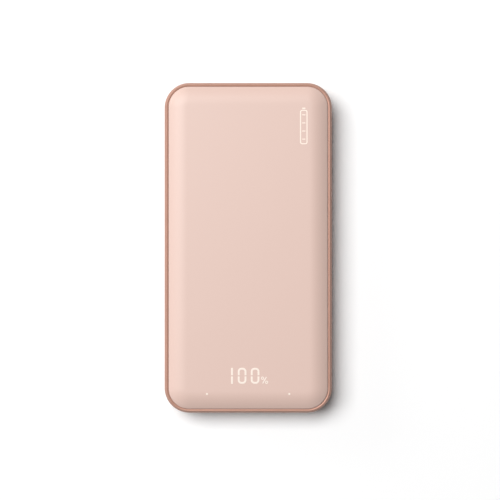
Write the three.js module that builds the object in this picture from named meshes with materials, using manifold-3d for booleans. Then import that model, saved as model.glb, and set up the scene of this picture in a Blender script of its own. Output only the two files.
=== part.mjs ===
/**
 * Slim power bank: two moulded covers clipped into a bright mid frame, two stacked pouch cells,
 * a main board with three USB receptacles, a display board under the top cover and a side button.
 *
 * Millimetres. X runs across the bank, Y along it with the ports at the -Y end, and Z up.
 * The origin is the middle of the face that it rests on.
 */
import * as THREE from "three";
import { LoftGeometry } from "three/addons/geometries/LoftGeometry.js";
import { mergeVertices } from "three/addons/utils/BufferGeometryUtils.js";
import Module from "manifold-3d";

const wasm = await Module();
wasm.setup();

// ---------------------------------------------------------------- driving dimensions

const WIDTH = 70;
const LENGTH = 138;
const THICKNESS = 15;
const CORNER_RADIUS = 10.4;

const HALF_X = WIDTH / 2;
const HALF_Y = LENGTH / 2;
const MID_Z = THICKNESS / 2;

const GAP = 0.3; // between moulded pieces, and round everything that slides
const SHEET_GAP = 0.05; // between flat pieces that lie on each other

const CORNER_STEPS = 7; // flats on each rounded corner of the housing
const ROUND_STEPS = 3; // flats on each small rounded corner
const WELD = 1e-4; // vertices closer than this are one
const OVERCUT = 1; // how far a cutting tool runs past what it cuts

const FRAME = { wall: 1.7, band: 6.6, rise: 1.7, crest: 0.95, crestWidth: 0.1, landFall: 0.2 };
const BAND_TOP = MID_Z + FRAME.band / 2;
const CREST_TOP = BAND_TOP + FRAME.rise;

const COVER = { wall: 1.2, gap: 0.08, edgeRadius: 0.7, edgeSteps: 3 };
COVER.inset = FRAME.wall + COVER.gap;
COVER.innerInset = COVER.inset + COVER.wall;
const ROLL = { width: 7.5, drop: 1.9, power: 2.3, steps: 5 }; // the slope that leads down to a cover's edge
ROLL.slope = Math.atan2(ROLL.power * ROLL.drop, ROLL.width);
ROLL.start = COVER.inset + COVER.edgeRadius * (1 - Math.sin(ROLL.slope));
const CEILING = THICKNESS - COVER.wall;
const FLOOR = COVER.wall;

const HOOK = { width: 6, wall: 1, barb: 0.65, tip: 2.1, barbTop: 0.9, sideY: [-25, 10, 45], endX: [-14, 14] };

const PANEL_LIP = 0.6; // wall left in front of a USB-A shell
const USB_A = { x: 17.2, width: 13.1, height: 5.7, wall: 0.3, length: 14, corner: 0.8, overlap: 0.1 };
USB_A.front = -HALF_Y + PANEL_LIP + GAP;
const USB_A_TONGUE = { width: 11.1, thickness: 1.84, low: 0.06, setback: 2 };
const USB_A_BASE = { width: 12, height: 4.6, depth: 3.3 };
const USB_C = { width: 8.94, height: 3.26, wall: 0.3, length: 7.35 };
USB_C.front = -HALF_Y + GAP;
const USB_C_TONGUE = { width: 6.69, thickness: 0.7, setback: 0.6 };
const USB_C_BASE = { width: 6.9, height: 2, depth: 1.5 };
const RISER_INSET = 1;

const BUTTON = { y: -46.9, length: 12, height: 3.6, recess: 0.1, flangeRim: 1.2, flangeHeightRim: 0.9 };
BUTTON.flangeThickness = 0.7;
BUTTON.flangeOuter = HALF_X - FRAME.wall - GAP;
BUTTON.flangeInner = BUTTON.flangeOuter - BUTTON.flangeThickness;

const BOARD = { halfX: 31, front: -65.5, back: -37, bottom: 3.4, thickness: 1, noseRadius: 7, tailRadius: 1 };
const BOARD_TOP = BOARD.bottom + BOARD.thickness;
const ON_BOARD = BOARD_TOP + SHEET_GAP;
const INSULATOR = { front: -60, back: -38, thickness: 0.15 };
const SCREW = { x: 27.5, y: [-58, -40], shaft: 0.8, head: 1.7, headHeight: 1, tipZ: 2, boss: 2.3 };

const SWITCH = { depth: 3.2, width: 6, outerX: 30.4, plunger: 1.5, bore: 1.5, stroke: 0.4 };

const INDUCTOR = { x: -9, y: -44.5, side: 7, height: 4.2, corner: 1.75 };
const CAPACITOR = { radius: 2.5, height: 5.8, places: [[-25, -50.3], [-18.5, -50.3], [18.5, -50.3]] };
const HEADER = { y: -50.3, width: 12.7, depth: 2.5 };
const CHIPS = {
  charge_chip: { middle: [0, -44.5], footprint: [5, 5], height: 0.9 },
  boost_chip: { middle: [6.5, -44.5], footprint: [4, 4], height: 0.9 },
  protection_chip: { middle: [12, -44.5], footprint: [3, 4.4], height: 1.1 },
  control_chip: { middle: [-18, -43.5], footprint: [6, 6], height: 1.2 },
};

const DISPLAY_BOARD = { halfX: 22, front: -64, back: -47, bottom: 10.8, thickness: 0.8, corner: 1 };
const ON_DISPLAY_BOARD = DISPLAY_BOARD.bottom + DISPLAY_BOARD.thickness + SHEET_GAP;
const POST = { x: 20, y: -49.5, radius: 0.8, length: 3.5 };

const DIGIT = { y: -53.2, height: 6.65, width: 3.6, stroke: 0.85, web: 0.25, x: [-7.9, -2.5, 2.9] };
const PERCENT = { x: 6.8, y: -55, width: 3.2, height: 3.1 };
const LIGHT_FRAME = { x: -0.7, width: 19.8, height: 10, thickness: 1.75, corner: 1 };
const DIFFUSER_THICKNESS = 0.2;
const WINDOW = { margin: 0.5, wall: 0.8 };
const INDICATOR = { x: 17.1, y: -60.75, radius: 1, length: 1.6, width: 0.8, height: 0.6 };

const CELL = { halfX: 29, back: 63.5, front: -33.5, thickness: 5.6, chamfer: 0.8, corner: 2 };
const FOAM = { halfX: 25, front: -28, back: 58, thickness: 0.45 };
const TAPE_THICKNESS = 0.2;
const TERRACE = { halfX: 25, depth: 2, thickness: 0.4 };
const TAB = { width: 6, thickness: 0.15, foot: -39.5, bend: -36.4, lowerX: 12, upperX: 20 };
const BEAD = { radius: 0.9, length: 3.2 };

// ---------------------------------------------------------------- finishes

const FINISHES = {
  cover: { color: 0xe8ccc1, roughness: 0.5, metalness: 0 },
  frame: { color: 0xc0907d, roughness: 0.3, metalness: 0.6 },
  steel: { color: 0xb9bbbf, roughness: 0.3, metalness: 1 },
  nickel: { color: 0xc9c5ba, roughness: 0.35, metalness: 1 },
  insulator: { color: 0x1b1b1d, roughness: 0.5, metalness: 0 },
  laminate: { color: 0x14532f, roughness: 0.5, metalness: 0 },
  chip: { color: 0x1a1a1c, roughness: 0.6, metalness: 0 },
  can: { color: 0xc4c6c9, roughness: 0.4, metalness: 1 },
  ferrite: { color: 0x3a3a3d, roughness: 0.7, metalness: 0 },
  diffuser: { color: 0xf4f4f0, roughness: 0.6, metalness: 0 },
  led: { color: 0xfff4e6, roughness: 0.4, metalness: 0 },
  foil: { color: 0xb6b8ba, roughness: 0.35, metalness: 1 },
  foam: { color: 0x2b2b2b, roughness: 0.95, metalness: 0 },
  tape: { color: 0xe6e0c8, roughness: 0.8, metalness: 0 },
  bead: { color: 0x2a1d12, roughness: 0.4, metalness: 0 },
};

// ---------------------------------------------------------------- boolean helpers

/** Welds a closed geometry into a solid that can be joined and cut. */
function toSolid(geometry) {
  const bare = new THREE.BufferGeometry().copy(geometry);
  bare.deleteAttribute("normal");
  bare.deleteAttribute("uv");
  const welded = mergeVertices(bare, WELD);
  const vertProperties = new Float32Array(welded.attributes.position.array);
  const triVerts = new Uint32Array(welded.index.array);
  return new wasm.Manifold(new wasm.Mesh({ numProp: 3, vertProperties, triVerts }));
}

/** Turns a solid back into a geometry. */
function toGeometry(solid) {
  const { vertProperties, triVerts } = solid.getMesh();
  const geometry = new THREE.BufferGeometry();
  geometry.setAttribute("position", new THREE.Float32BufferAttribute(vertProperties, 3));
  geometry.setIndex(new THREE.Uint32BufferAttribute(triVerts, 1));
  return geometry;
}

/** The base with every one of the other pieces fused to it. */
function join(base, pieces) {
  return toGeometry(pieces.reduce((solid, piece) => solid.add(toSolid(piece)), toSolid(base)));
}

/** The base with every one of the tools taken out of it. */
function cut(base, tools) {
  return toGeometry(tools.reduce((solid, tool) => solid.subtract(toSolid(tool)), toSolid(base)));
}

// ---------------------------------------------------------------- shape helpers

/** A block between two limits on each axis. */
function block([x0, x1], [y0, y1], [z0, z1]) {
  const geometry = new THREE.BoxGeometry(x1 - x0, y1 - y0, z1 - z0);
  return geometry.translate((x0 + x1) / 2, (y0 + y1) / 2, (z0 + z1) / 2);
}

/** A rectangle with rounded corners about a centre; a stadium where the radius is half its height. */
function roundedRectangle(centreX, centreY, width, height, radius) {
  const x = width / 2 - radius;
  const y = height / 2 - radius;
  const shape = new THREE.Shape();
  shape.absarc(centreX + x, centreY + y, radius, 0, Math.PI / 2);
  shape.absarc(centreX - x, centreY + y, radius, Math.PI / 2, Math.PI);
  shape.absarc(centreX - x, centreY - y, radius, Math.PI, (3 * Math.PI) / 2);
  shape.absarc(centreX + x, centreY - y, radius, (3 * Math.PI) / 2, 2 * Math.PI);
  return shape;
}

/** A round outline, for holes and pins. */
function disc(centreX, centreY, radius) {
  return new THREE.Shape().absarc(centreX, centreY, radius, 0, 2 * Math.PI);
}

/** A flat outline made thick. */
function extrude(shape, depth) {
  return new THREE.ExtrudeGeometry(shape, { depth, bevelEnabled: false, curveSegments: ROUND_STEPS });
}

/** An outline drawn in X and Y, raised from one height to another. */
function alongZ(shape, zFrom, zTo) {
  return extrude(shape, zTo - zFrom).translate(0, 0, zFrom);
}

/** An outline drawn in X and Z, run from one Y to another. */
function alongY(shape, yFrom, yTo) {
  return extrude(shape, yTo - yFrom).rotateX(Math.PI / 2).translate(0, yTo, 0);
}

/** An outline drawn in Y and Z, run from one X to another. */
function alongX(shape, xFrom, xTo) {
  return extrude(shape, xTo - xFrom).rotateX(Math.PI / 2).rotateZ(Math.PI / 2).translate(xFrom, 0, 0);
}

/** A closed polygon through [x, y] points. */
function polygon(points) {
  return new THREE.Shape(points.map(([x, y]) => new THREE.Vector2(x, y)));
}

/** The housing's outline, moved in by an inset, as a ring of points at one height. */
function ring([inset, z]) {
  const radius = CORNER_RADIUS - inset;
  const points = [];
  for (let quarter = 0; quarter < 4; quarter += 1) {
    const centreX = (quarter === 0 || quarter === 3 ? 1 : -1) * (HALF_X - CORNER_RADIUS);
    const centreY = (quarter < 2 ? 1 : -1) * (HALF_Y - CORNER_RADIUS);
    for (let step = 0; step <= CORNER_STEPS; step += 1) {
      const angle = ((quarter + step / CORNER_STEPS) * Math.PI) / 2;
      const [across, along] = [radius * Math.cos(angle), radius * Math.sin(angle)];
      points.push(new THREE.Vector3(centreX + across, centreY + along, z));
    }
  }
  return points;
}

/** A solid stack of housing outlines, from [inset, z] pairs that rise. */
function stack(profile) {
  return new LoftGeometry(profile.map(ring), { capStart: true, capEnd: true });
}

/** The same piece turned over end for end about the long axis, from the top of the bank to its underside. */
function turnedOver(geometry) {
  return geometry.clone().rotateY(Math.PI).translate(0, 0, THICKNESS);
}

/** A profile of [inset, z] pairs that rise, turned over from the top of the bank to its underside. */
function mirrored(profile) {
  return profile.map(([inset, z]) => [inset, THICKNESS - z]).reverse();
}

/** Numbers from 0 to 1 in equal steps, both ends included. */
function fractions(steps) {
  return Array.from({ length: steps + 1 }, (_, step) => step / steps);
}

// ---------------------------------------------------------------- clips between covers and frame

/** Every place on the side walls that has a clip: the turn that faces it outwards, and its spot. */
function clipPlaces() {
  const sides = HOOK.sideY.flatMap((y) => [
    { turn: 0, x: HALF_X, y },
    { turn: Math.PI, x: -HALF_X, y },
  ]);
  const ends = HOOK.endX.map((x) => ({ turn: Math.PI / 2, x, y: HALF_Y }));
  return [...sides, ...ends];
}

/** Copies a piece, drawn with its outer side facing +X from x = 0, to every clip place. */
function atClipPlaces(geometry) {
  return clipPlaces().map(({ turn, x, y }) => geometry.clone().rotateZ(turn).translate(x, y, 0));
}

/** A cover's snap hook: a short tongue below the skirt with a barb on its outer side. */
function snapHook() {
  const outer = -COVER.inset - SHEET_GAP;
  const inner = outer - HOOK.wall;
  const root = BAND_TOP + GAP;
  const barbTop = BAND_TOP - HOOK.barbTop;
  const tip = BAND_TOP - HOOK.tip;
  const nose = outer - -HOOK.barb;
  const outline = [[inner, root], [inner, tip], [outer, tip], [nose, tip + GAP], [nose, barbTop - GAP]];
  outline.push([outer, barbTop], [outer, root]);
  return alongY(polygon(outline), -HOOK.width / 2, HOOK.width / 2);
}

/** The pocket in the frame's inner wall that a barb snaps into. */
function snapPocket() {
  const depth = COVER.inset + SHEET_GAP - HOOK.barb - GAP;
  const halfWidth = HOOK.width / 2 + GAP;
  const z = [BAND_TOP - HOOK.tip - GAP, BAND_TOP - HOOK.barbTop + GAP];
  return block([-FRAME.wall - GAP, -depth], [-halfWidth, halfWidth], z);
}

// ---------------------------------------------------------------- housing

/**
 * The mid frame before its openings: a flat band whose edges are chamfered up to a crest,
 * with a land that falls from the crest to the inner wall, open in the middle.
 */
function frameRing() {
  const outside = [[0, BAND_TOP], [FRAME.crest, CREST_TOP]];
  const landStart = FRAME.crest + FRAME.crestWidth;
  const landEnd = CREST_TOP - FRAME.landFall;
  const inside = [[FRAME.wall, landEnd], [landStart, CREST_TOP], [landStart, CREST_TOP + OVERCUT]];
  return cut(stack([...mirrored(outside), ...outside]), [stack([...mirrored(inside), ...inside])]);
}

/** The three holes in the frame's end wall, with a step inside the USB-A ones that the shells sit in. */
function portOpenings() {
  const outside = -HALF_Y - OVERCUT;
  const inside = -HALF_Y + FRAME.wall + OVERCUT;
  const around = (x, room) =>
    roundedRectangle(x, MID_Z, USB_A.width + 2 * room, USB_A.height + 2 * room, USB_A.corner);
  const holes = [-USB_A.x, USB_A.x].flatMap((x) => [
    alongY(around(x, -USB_A.overlap), outside, inside),
    alongY(around(x, GAP), -HALF_Y + PANEL_LIP, inside),
  ]);
  const height = USB_C.height + 2 * GAP;
  const slot = roundedRectangle(0, MID_Z, USB_C.width + 2 * GAP, height, height / 2);
  return [...holes, alongY(slot, outside, inside)];
}

function midFrame() {
  const pockets = atClipPlaces(snapPocket());
  const height = BUTTON.height + 2 * GAP;
  const buttonHole = roundedRectangle(BUTTON.y, MID_Z, BUTTON.length + 2 * GAP, height, height / 2);
  const throughWall = alongX(buttonHole, HALF_X - FRAME.wall - OVERCUT, HALF_X + OVERCUT);
  return cut(frameRing(), [...portOpenings(), throughWall, ...pockets, ...pockets.map(turnedOver)]);
}

/** The points of a cover's slope below a flat height, from a part of the way in to the flat. */
function rollProfile(flat, from) {
  return fractions(ROLL.steps).map((step) => {
    const part = from + (1 - from) * step;
    return [ROLL.start + ROLL.width * part, flat - ROLL.drop * (1 - part) ** ROLL.power];
  });
}

/** The cover's round edge: an arc that leaves the skirt upright and meets the slope at its own angle. */
function edgeProfile() {
  const turn = Math.PI / 2 - ROLL.slope;
  const base = THICKNESS - ROLL.drop - COVER.edgeRadius * Math.sin(turn);
  return fractions(COVER.edgeSteps).map((part) => [
    COVER.inset + COVER.edgeRadius * (1 - Math.cos(part * turn)),
    base + COVER.edgeRadius * Math.sin(part * turn),
  ]);
}

/** A cover with its snap hooks: a flat plate that slopes down to a small round edge and a skirt. */
function coverShell() {
  const outside = [[COVER.inset, BAND_TOP], ...edgeProfile(), ...rollProfile(THICKNESS, 0).slice(1)];
  const slopeAtSkirt = (COVER.innerInset - ROLL.start) / ROLL.width;
  const hollow = [[COVER.innerInset, BAND_TOP - OVERCUT], ...rollProfile(CEILING, slopeAtSkirt)];
  return join(cut(stack(outside), [stack(hollow)]), atClipPlaces(snapHook()));
}

/** The top cover, thinned over the display and the two indicators, with pegs for the display board. */
function topCover() {
  const windowTop = THICKNESS - WINDOW.wall;
  const halfWidth = LIGHT_FRAME.width / 2 + WINDOW.margin;
  const halfHeight = LIGHT_FRAME.height / 2 + WINDOW.margin;
  const x = [LIGHT_FRAME.x - halfWidth, LIGHT_FRAME.x + halfWidth];
  const window = block(x, [DIGIT.y - halfHeight, DIGIT.y + halfHeight], [CEILING - OVERCUT, windowTop]);
  const wells = [-INDICATOR.x, INDICATOR.x].map((wellX) =>
    alongZ(disc(wellX, INDICATOR.y, INDICATOR.radius), CEILING - OVERCUT, windowTop),
  );
  const posts = [-POST.x, POST.x].map((postX) =>
    alongZ(disc(postX, POST.y, POST.radius), CEILING - POST.length, CEILING + SHEET_GAP),
  );
  return cut(join(coverShell(), posts), [window, ...wells]);
}

/** Where the four screws stand that hold the main board. */
function screwPlaces() {
  return SCREW.y.flatMap((y) => [[-SCREW.x, y], [SCREW.x, y]]);
}

/** The bottom cover, with a bored boss under each board screw. */
function bottomCover() {
  const bossTop = BOARD.bottom - SHEET_GAP;
  const bosses = screwPlaces().map(([x, y]) => alongZ(disc(x, y, SCREW.boss), FLOOR - SHEET_GAP, bossTop));
  const pilots = screwPlaces().map(([x, y]) =>
    alongZ(disc(x, y, SCREW.shaft + GAP), SCREW.tipZ - GAP, bossTop + OVERCUT),
  );
  return cut(join(turnedOver(coverShell()), bosses), pilots);
}

// ---------------------------------------------------------------- power button and its switch

/** The button: a stadium cap through the frame, with a flange behind the wall that keeps it in. */
function powerButton() {
  const cap = roundedRectangle(BUTTON.y, MID_Z, BUTTON.length, BUTTON.height, BUTTON.height / 2);
  const flangeLength = BUTTON.length + 2 * BUTTON.flangeRim;
  const flangeHeight = BUTTON.height + 2 * BUTTON.flangeHeightRim;
  const flange = roundedRectangle(BUTTON.y, MID_Z, flangeLength, flangeHeight, BUTTON.flangeHeightRim);
  const capSolid = alongX(cap, BUTTON.flangeInner + SHEET_GAP, HALF_X - BUTTON.recess);
  return join(alongX(flange, BUTTON.flangeInner, BUTTON.flangeOuter), [capSolid]);
}

/** The side-press switch's case, with the blind bore that its plunger slides in. */
function tactSwitchBody() {
  const half = SWITCH.width / 2;
  const y = [BUTTON.y - half, BUTTON.y + half];
  const height = 2 * (MID_Z - ON_BOARD);
  const box = block([SWITCH.outerX - SWITCH.depth, SWITCH.outerX], y, [ON_BOARD, ON_BOARD + height]);
  const bore = disc(BUTTON.y, MID_Z, SWITCH.plunger + GAP);
  return cut(box, [alongX(bore, SWITCH.outerX - SWITCH.bore, SWITCH.outerX + OVERCUT)]);
}

function tactSwitchPlunger() {
  const inner = SWITCH.outerX - SWITCH.bore + SWITCH.stroke + SHEET_GAP;
  return alongX(disc(BUTTON.y, MID_Z, SWITCH.plunger), inner, BUTTON.flangeInner - GAP);
}

// ---------------------------------------------------------------- USB receptacles

/** A receptacle's drawn steel shell: an outline with its hollow, open at both ends. */
function receptacleShell({ width, height, wall, length, front }, x, corner) {
  const outline = roundedRectangle(x, MID_Z, width, height, corner);
  outline.holes.push(roundedRectangle(x, MID_Z, width - 2 * wall, height - 2 * wall, corner - wall));
  return alongY(outline, front, front + length);
}

function usbAShell(x) {
  return receptacleShell(USB_A, x, USB_A.corner);
}

function usbCShell() {
  return receptacleShell(USB_C, 0, USB_C.height / 2);
}

/** The plastic core of a receptacle: a base that closes the shell's back, and the tongue on it. */
function receptacleCore(shell, base, tongue, x, tongueZ) {
  const back = shell.front + shell.length;
  const baseX = [x - base.width / 2, x + base.width / 2];
  const baseZ = [MID_Z - base.height / 2, MID_Z + base.height / 2];
  const tongueX = [x - tongue.width / 2, x + tongue.width / 2];
  const tongueY = [shell.front + tongue.setback, back - base.depth / 2];
  const bar = block(tongueX, tongueY, [tongueZ, tongueZ + tongue.thickness]);
  return join(block(baseX, [back - base.depth, back], baseZ), [bar]);
}

function usbACore(x) {
  return receptacleCore(USB_A, USB_A_BASE, USB_A_TONGUE, x, MID_Z + USB_A_TONGUE.low);
}

function usbCCore() {
  return receptacleCore(USB_C, USB_C_BASE, USB_C_TONGUE, 0, MID_Z - USB_C_TONGUE.thickness / 2);
}

/** The block that lifts the small receptacle to the height of the large ones. */
function usbCRiser() {
  const half = USB_C.width / 2 - RISER_INSET;
  const top = MID_Z - USB_C.height / 2 - SHEET_GAP;
  return block([-half, half], [BOARD.front, USB_C.front + USB_C.length], [ON_BOARD, top]);
}

// ---------------------------------------------------------------- circuit boards

/** The main board: round corners that follow the housing, and a hole for each screw. */
function mainBoard() {
  const { halfX, front, back, noseRadius, tailRadius } = BOARD;
  const outline = new THREE.Shape();
  outline.absarc(halfX - tailRadius, back - tailRadius, tailRadius, 0, Math.PI / 2);
  outline.absarc(-halfX + tailRadius, back - tailRadius, tailRadius, Math.PI / 2, Math.PI);
  outline.absarc(-halfX + noseRadius, front + noseRadius, noseRadius, Math.PI, (3 * Math.PI) / 2);
  outline.absarc(halfX - noseRadius, front + noseRadius, noseRadius, (3 * Math.PI) / 2, 2 * Math.PI);
  outline.holes.push(...screwPlaces().map(([x, y]) => disc(x, y, SCREW.shaft + GAP)));
  return alongZ(outline, BOARD.bottom, BOARD_TOP);
}

/** A pan-head screw, point down, at the origin, with the underside of its head on the board's top. */
function boardScrew() {
  const { shaft, head, headHeight, tipZ } = SCREW;
  const profile = [[0, tipZ], [shaft, tipZ + shaft], [shaft, ON_BOARD], [head, ON_BOARD]];
  profile.push([head, ON_BOARD + headHeight / 2], [head - headHeight / 2, ON_BOARD + headHeight]);
  profile.push([0, ON_BOARD + headHeight]);
  const points = profile.map(([radius, z]) => new THREE.Vector2(radius, z));
  const segments = 12;
  return new THREE.LatheGeometry(points, segments).rotateX(Math.PI / 2);
}

/** A component that stands on the main board, given its middle, its footprint and its height. */
function boardComponent([x, y], [width, depth], height) {
  return block([x - width / 2, x + width / 2], [y - depth / 2, y + depth / 2], [ON_BOARD, ON_BOARD + height]);
}

/** The shielded power inductor: a low square core with cut corners. */
function powerInductor() {
  const { x, y, side, height, corner } = INDUCTOR;
  return alongZ(roundedRectangle(x, y, side, side, corner), ON_BOARD, ON_BOARD + height);
}

/** A round polymer capacitor can, standing at the origin. */
function outputCapacitor() {
  const { radius, height } = CAPACITOR;
  const segments = 16;
  return new THREE.CylinderGeometry(radius, radius, height, segments)
    .rotateX(Math.PI / 2)
    .translate(0, 0, ON_BOARD + height / 2);
}

/** The header that carries the display board's signals up from the main board. */
function boardHeader() {
  const { y, width, depth } = HEADER;
  return boardComponent([0, y], [width, depth], DISPLAY_BOARD.bottom - SHEET_GAP - ON_BOARD);
}

/** The card that keeps the main board's joints off the bottom cover. */
function boardInsulator() {
  const halfX = SCREW.x - SCREW.boss - GAP;
  const { front, back, thickness } = INSULATOR;
  return block([-halfX, halfX], [front, back], [FLOOR + SHEET_GAP, FLOOR + SHEET_GAP + thickness]);
}

function displayBoard() {
  const { halfX, front, back, bottom, thickness, corner } = DISPLAY_BOARD;
  const outline = roundedRectangle(0, (front + back) / 2, 2 * halfX, back - front, corner);
  outline.holes.push(...[-POST.x, POST.x].map((x) => disc(x, POST.y, POST.radius + GAP)));
  return alongZ(outline, bottom, bottom + thickness);
}

/** The seven bars of one digit, as [centre x, centre y, width, height] about the digit's middle. */
function digitBars({ width, height, stroke, web }) {
  const sideX = (width - stroke) / 2;
  const sideY = (height - stroke) / 4;
  const barLength = width - 2 * stroke - web;
  const uprightLength = (height - 3 * stroke) / 2 - web;
  const uprights = [-1, 1].flatMap((x) => [-1, 1].map((y) => [x * sideX, y * sideY, stroke, uprightLength]));
  const levels = [-1, 0, 1].map((level) => [0, level * 2 * sideY, barLength, stroke]);
  return [...uprights, ...levels];
}

/** The white frame that keeps the light of each display bar apart: one slot for each bar. */
function displayLightFrame() {
  const top = ON_DISPLAY_BOARD + LIGHT_FRAME.thickness;
  const slot = (x, y, width, height) => {
    const slotY = [y - height / 2, y + height / 2];
    return block([x - width / 2, x + width / 2], slotY, [ON_DISPLAY_BOARD - OVERCUT, top + OVERCUT]);
  };
  const bars = digitBars(DIGIT);
  const slots = DIGIT.x.flatMap((x, place) =>
    bars
      .filter(([barX]) => place > 0 || barX > 0)
      .map(([barX, barY, width, height]) => slot(x + barX, DIGIT.y + barY, width, height)),
  );
  slots.push(slot(PERCENT.x, PERCENT.y, PERCENT.width, PERCENT.height));
  const { x: middle, width: frameWidth, height: frameHeight, corner } = LIGHT_FRAME;
  const outline = roundedRectangle(middle, DIGIT.y, frameWidth, frameHeight, corner);
  return cut(alongZ(outline, ON_DISPLAY_BOARD, top), slots);
}

function displayDiffuser() {
  const halfX = LIGHT_FRAME.width / 2;
  const halfY = LIGHT_FRAME.height / 2;
  const z = ON_DISPLAY_BOARD + LIGHT_FRAME.thickness + SHEET_GAP;
  const x = [LIGHT_FRAME.x - halfX, LIGHT_FRAME.x + halfX];
  return block(x, [DIGIT.y - halfY, DIGIT.y + halfY], [z, z + DIFFUSER_THICKNESS]);
}

function indicatorLed(x) {
  const halfX = INDICATOR.length / 2;
  const halfY = INDICATOR.width / 2;
  const z = [ON_DISPLAY_BOARD, ON_DISPLAY_BOARD + INDICATOR.height];
  return block([x - halfX, x + halfX], [INDICATOR.y - halfY, INDICATOR.y + halfY], z);
}

// ---------------------------------------------------------------- battery

const LOWER_FOAM_Z = FLOOR + SHEET_GAP;
const LOWER_CELL_Z = LOWER_FOAM_Z + FOAM.thickness + SHEET_GAP;
const TAPE_Z = LOWER_CELL_Z + CELL.thickness + SHEET_GAP;
const UPPER_CELL_Z = TAPE_Z + TAPE_THICKNESS + SHEET_GAP;
const UPPER_FOAM_Z = UPPER_CELL_Z + CELL.thickness + SHEET_GAP;

/** A flat sheet the size of the foam pads. */
function cellSheet(z, thickness) {
  return block([-FOAM.halfX, FOAM.halfX], [FOAM.front, FOAM.back], [z, z + thickness]);
}

/** A pouch cell: a flat pack with bevelled edges, and the sealed terrace that its tabs leave from. */
function pouchCell(z) {
  const { halfX, front, back, thickness, chamfer, corner } = CELL;
  const midY = (front + back) / 2;
  const outline = roundedRectangle(0, midY, 2 * (halfX - chamfer), back - front - 2 * chamfer, corner);
  const pack = new THREE.ExtrudeGeometry(outline, {
    depth: thickness - 2 * chamfer,
    bevelSize: chamfer,
    bevelThickness: chamfer,
    bevelSegments: 1,
    curveSegments: ROUND_STEPS,
  }).translate(0, 0, z + chamfer);
  const sealZ = z + (thickness - TERRACE.thickness) / 2;
  const sealX = [-TERRACE.halfX, TERRACE.halfX];
  return join(pack, [block(sealX, [front - TERRACE.depth, front + 1], [sealZ, sealZ + TERRACE.thickness])]);
}

/** A nickel tab that lies flat from the lower cell's terrace onto the board. */
function lowerTab(x) {
  const end = CELL.front - TERRACE.depth - SHEET_GAP;
  const z = [ON_BOARD, ON_BOARD + TAB.thickness];
  return block([x - TAB.width / 2, x + TAB.width / 2], [TAB.foot, end], z);
}

/** A nickel tab that comes off the upper cell's terrace, turns down and ends in a foot on the board. */
function upperTab(x) {
  const end = CELL.front - TERRACE.depth - SHEET_GAP;
  const top = UPPER_CELL_Z + CELL.thickness / 2;
  const { thickness, foot, bend, width } = TAB;
  const below = top - thickness;
  const outer = [[foot, ON_BOARD], [bend + thickness, ON_BOARD], [bend + thickness, below], [end, below]];
  const inner = [[end, top], [bend, top], [bend, ON_BOARD + thickness], [foot, ON_BOARD + thickness]];
  return alongX(polygon([...outer, ...inner]), x - width / 2, x + width / 2);
}

/** The temperature sensor: a small resin bead against the end of the cells. */
function thermistor() {
  const { radius, length } = BEAD;
  const segments = 10;
  const rows = 6;
  const profile = fractions(rows).map((part) => {
    const angle = part * Math.PI;
    return new THREE.Vector2(radius * Math.sin(angle), (-length / 2) * Math.cos(angle));
  });
  return new THREE.LatheGeometry(profile, segments)
    .rotateZ(Math.PI / 2)
    .translate(0, CELL.front - SHEET_GAP - radius, MID_Z);
}

// ---------------------------------------------------------------- assembly

/** One named piece with a material of its own. */
function piece(name, finish, geometry, [x, y, z] = [0, 0, 0]) {
  const mesh = new THREE.Mesh(geometry, new THREE.MeshStandardMaterial(FINISHES[finish]));
  mesh.name = name;
  mesh.position.set(x, y, z);
  return mesh;
}

function group(...pieces) {
  return new THREE.Group().add(...pieces);
}

function housing() {
  return group(
    piece("mid_frame", "frame", midFrame()),
    piece("top_cover", "cover", topCover()),
    piece("bottom_cover", "cover", bottomCover()),
    piece("power_button", "frame", powerButton()),
  );
}

function receptacles() {
  const sides = [["left", -USB_A.x], ["right", USB_A.x]];
  const large = sides.flatMap(([side, x]) => [
    piece(`usb_a_${side}_shell`, "steel", usbAShell(x)),
    piece(`usb_a_${side}_core`, "insulator", usbACore(x)),
  ]);
  return group(
    ...large,
    piece("usb_c_shell", "steel", usbCShell()),
    piece("usb_c_core", "insulator", usbCCore()),
    piece("usb_c_riser", "insulator", usbCRiser()),
  );
}

function mainBoardAssembly() {
  const chips = Object.entries(CHIPS).map(([name, { middle, footprint, height }]) =>
    piece(name, "chip", boardComponent(middle, footprint, height)),
  );
  const capacitors = CAPACITOR.places.map(([x, y], i) =>
    piece(`output_capacitor_${i + 1}`, "can", outputCapacitor(), [x, y, 0]),
  );
  return group(
    piece("main_board", "laminate", mainBoard()),
    piece("board_insulator", "tape", boardInsulator()),
    piece("power_inductor", "ferrite", powerInductor()),
    ...chips,
    piece("board_header", "insulator", boardHeader()),
    piece("tact_switch_body", "insulator", tactSwitchBody()),
    piece("tact_switch_plunger", "nickel", tactSwitchPlunger()),
    ...capacitors,
    ...screwPlaces().map(([x, y], i) => piece(`board_screw_${i + 1}`, "steel", boardScrew(), [x, y, 0])),
  );
}

function displayAssembly() {
  return group(
    piece("display_board", "laminate", displayBoard()),
    piece("display_light_frame", "diffuser", displayLightFrame()),
    piece("display_diffuser", "diffuser", displayDiffuser()),
    piece("indicator_led_left", "led", indicatorLed(-INDICATOR.x)),
    piece("indicator_led_right", "led", indicatorLed(INDICATOR.x)),
  );
}

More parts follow.
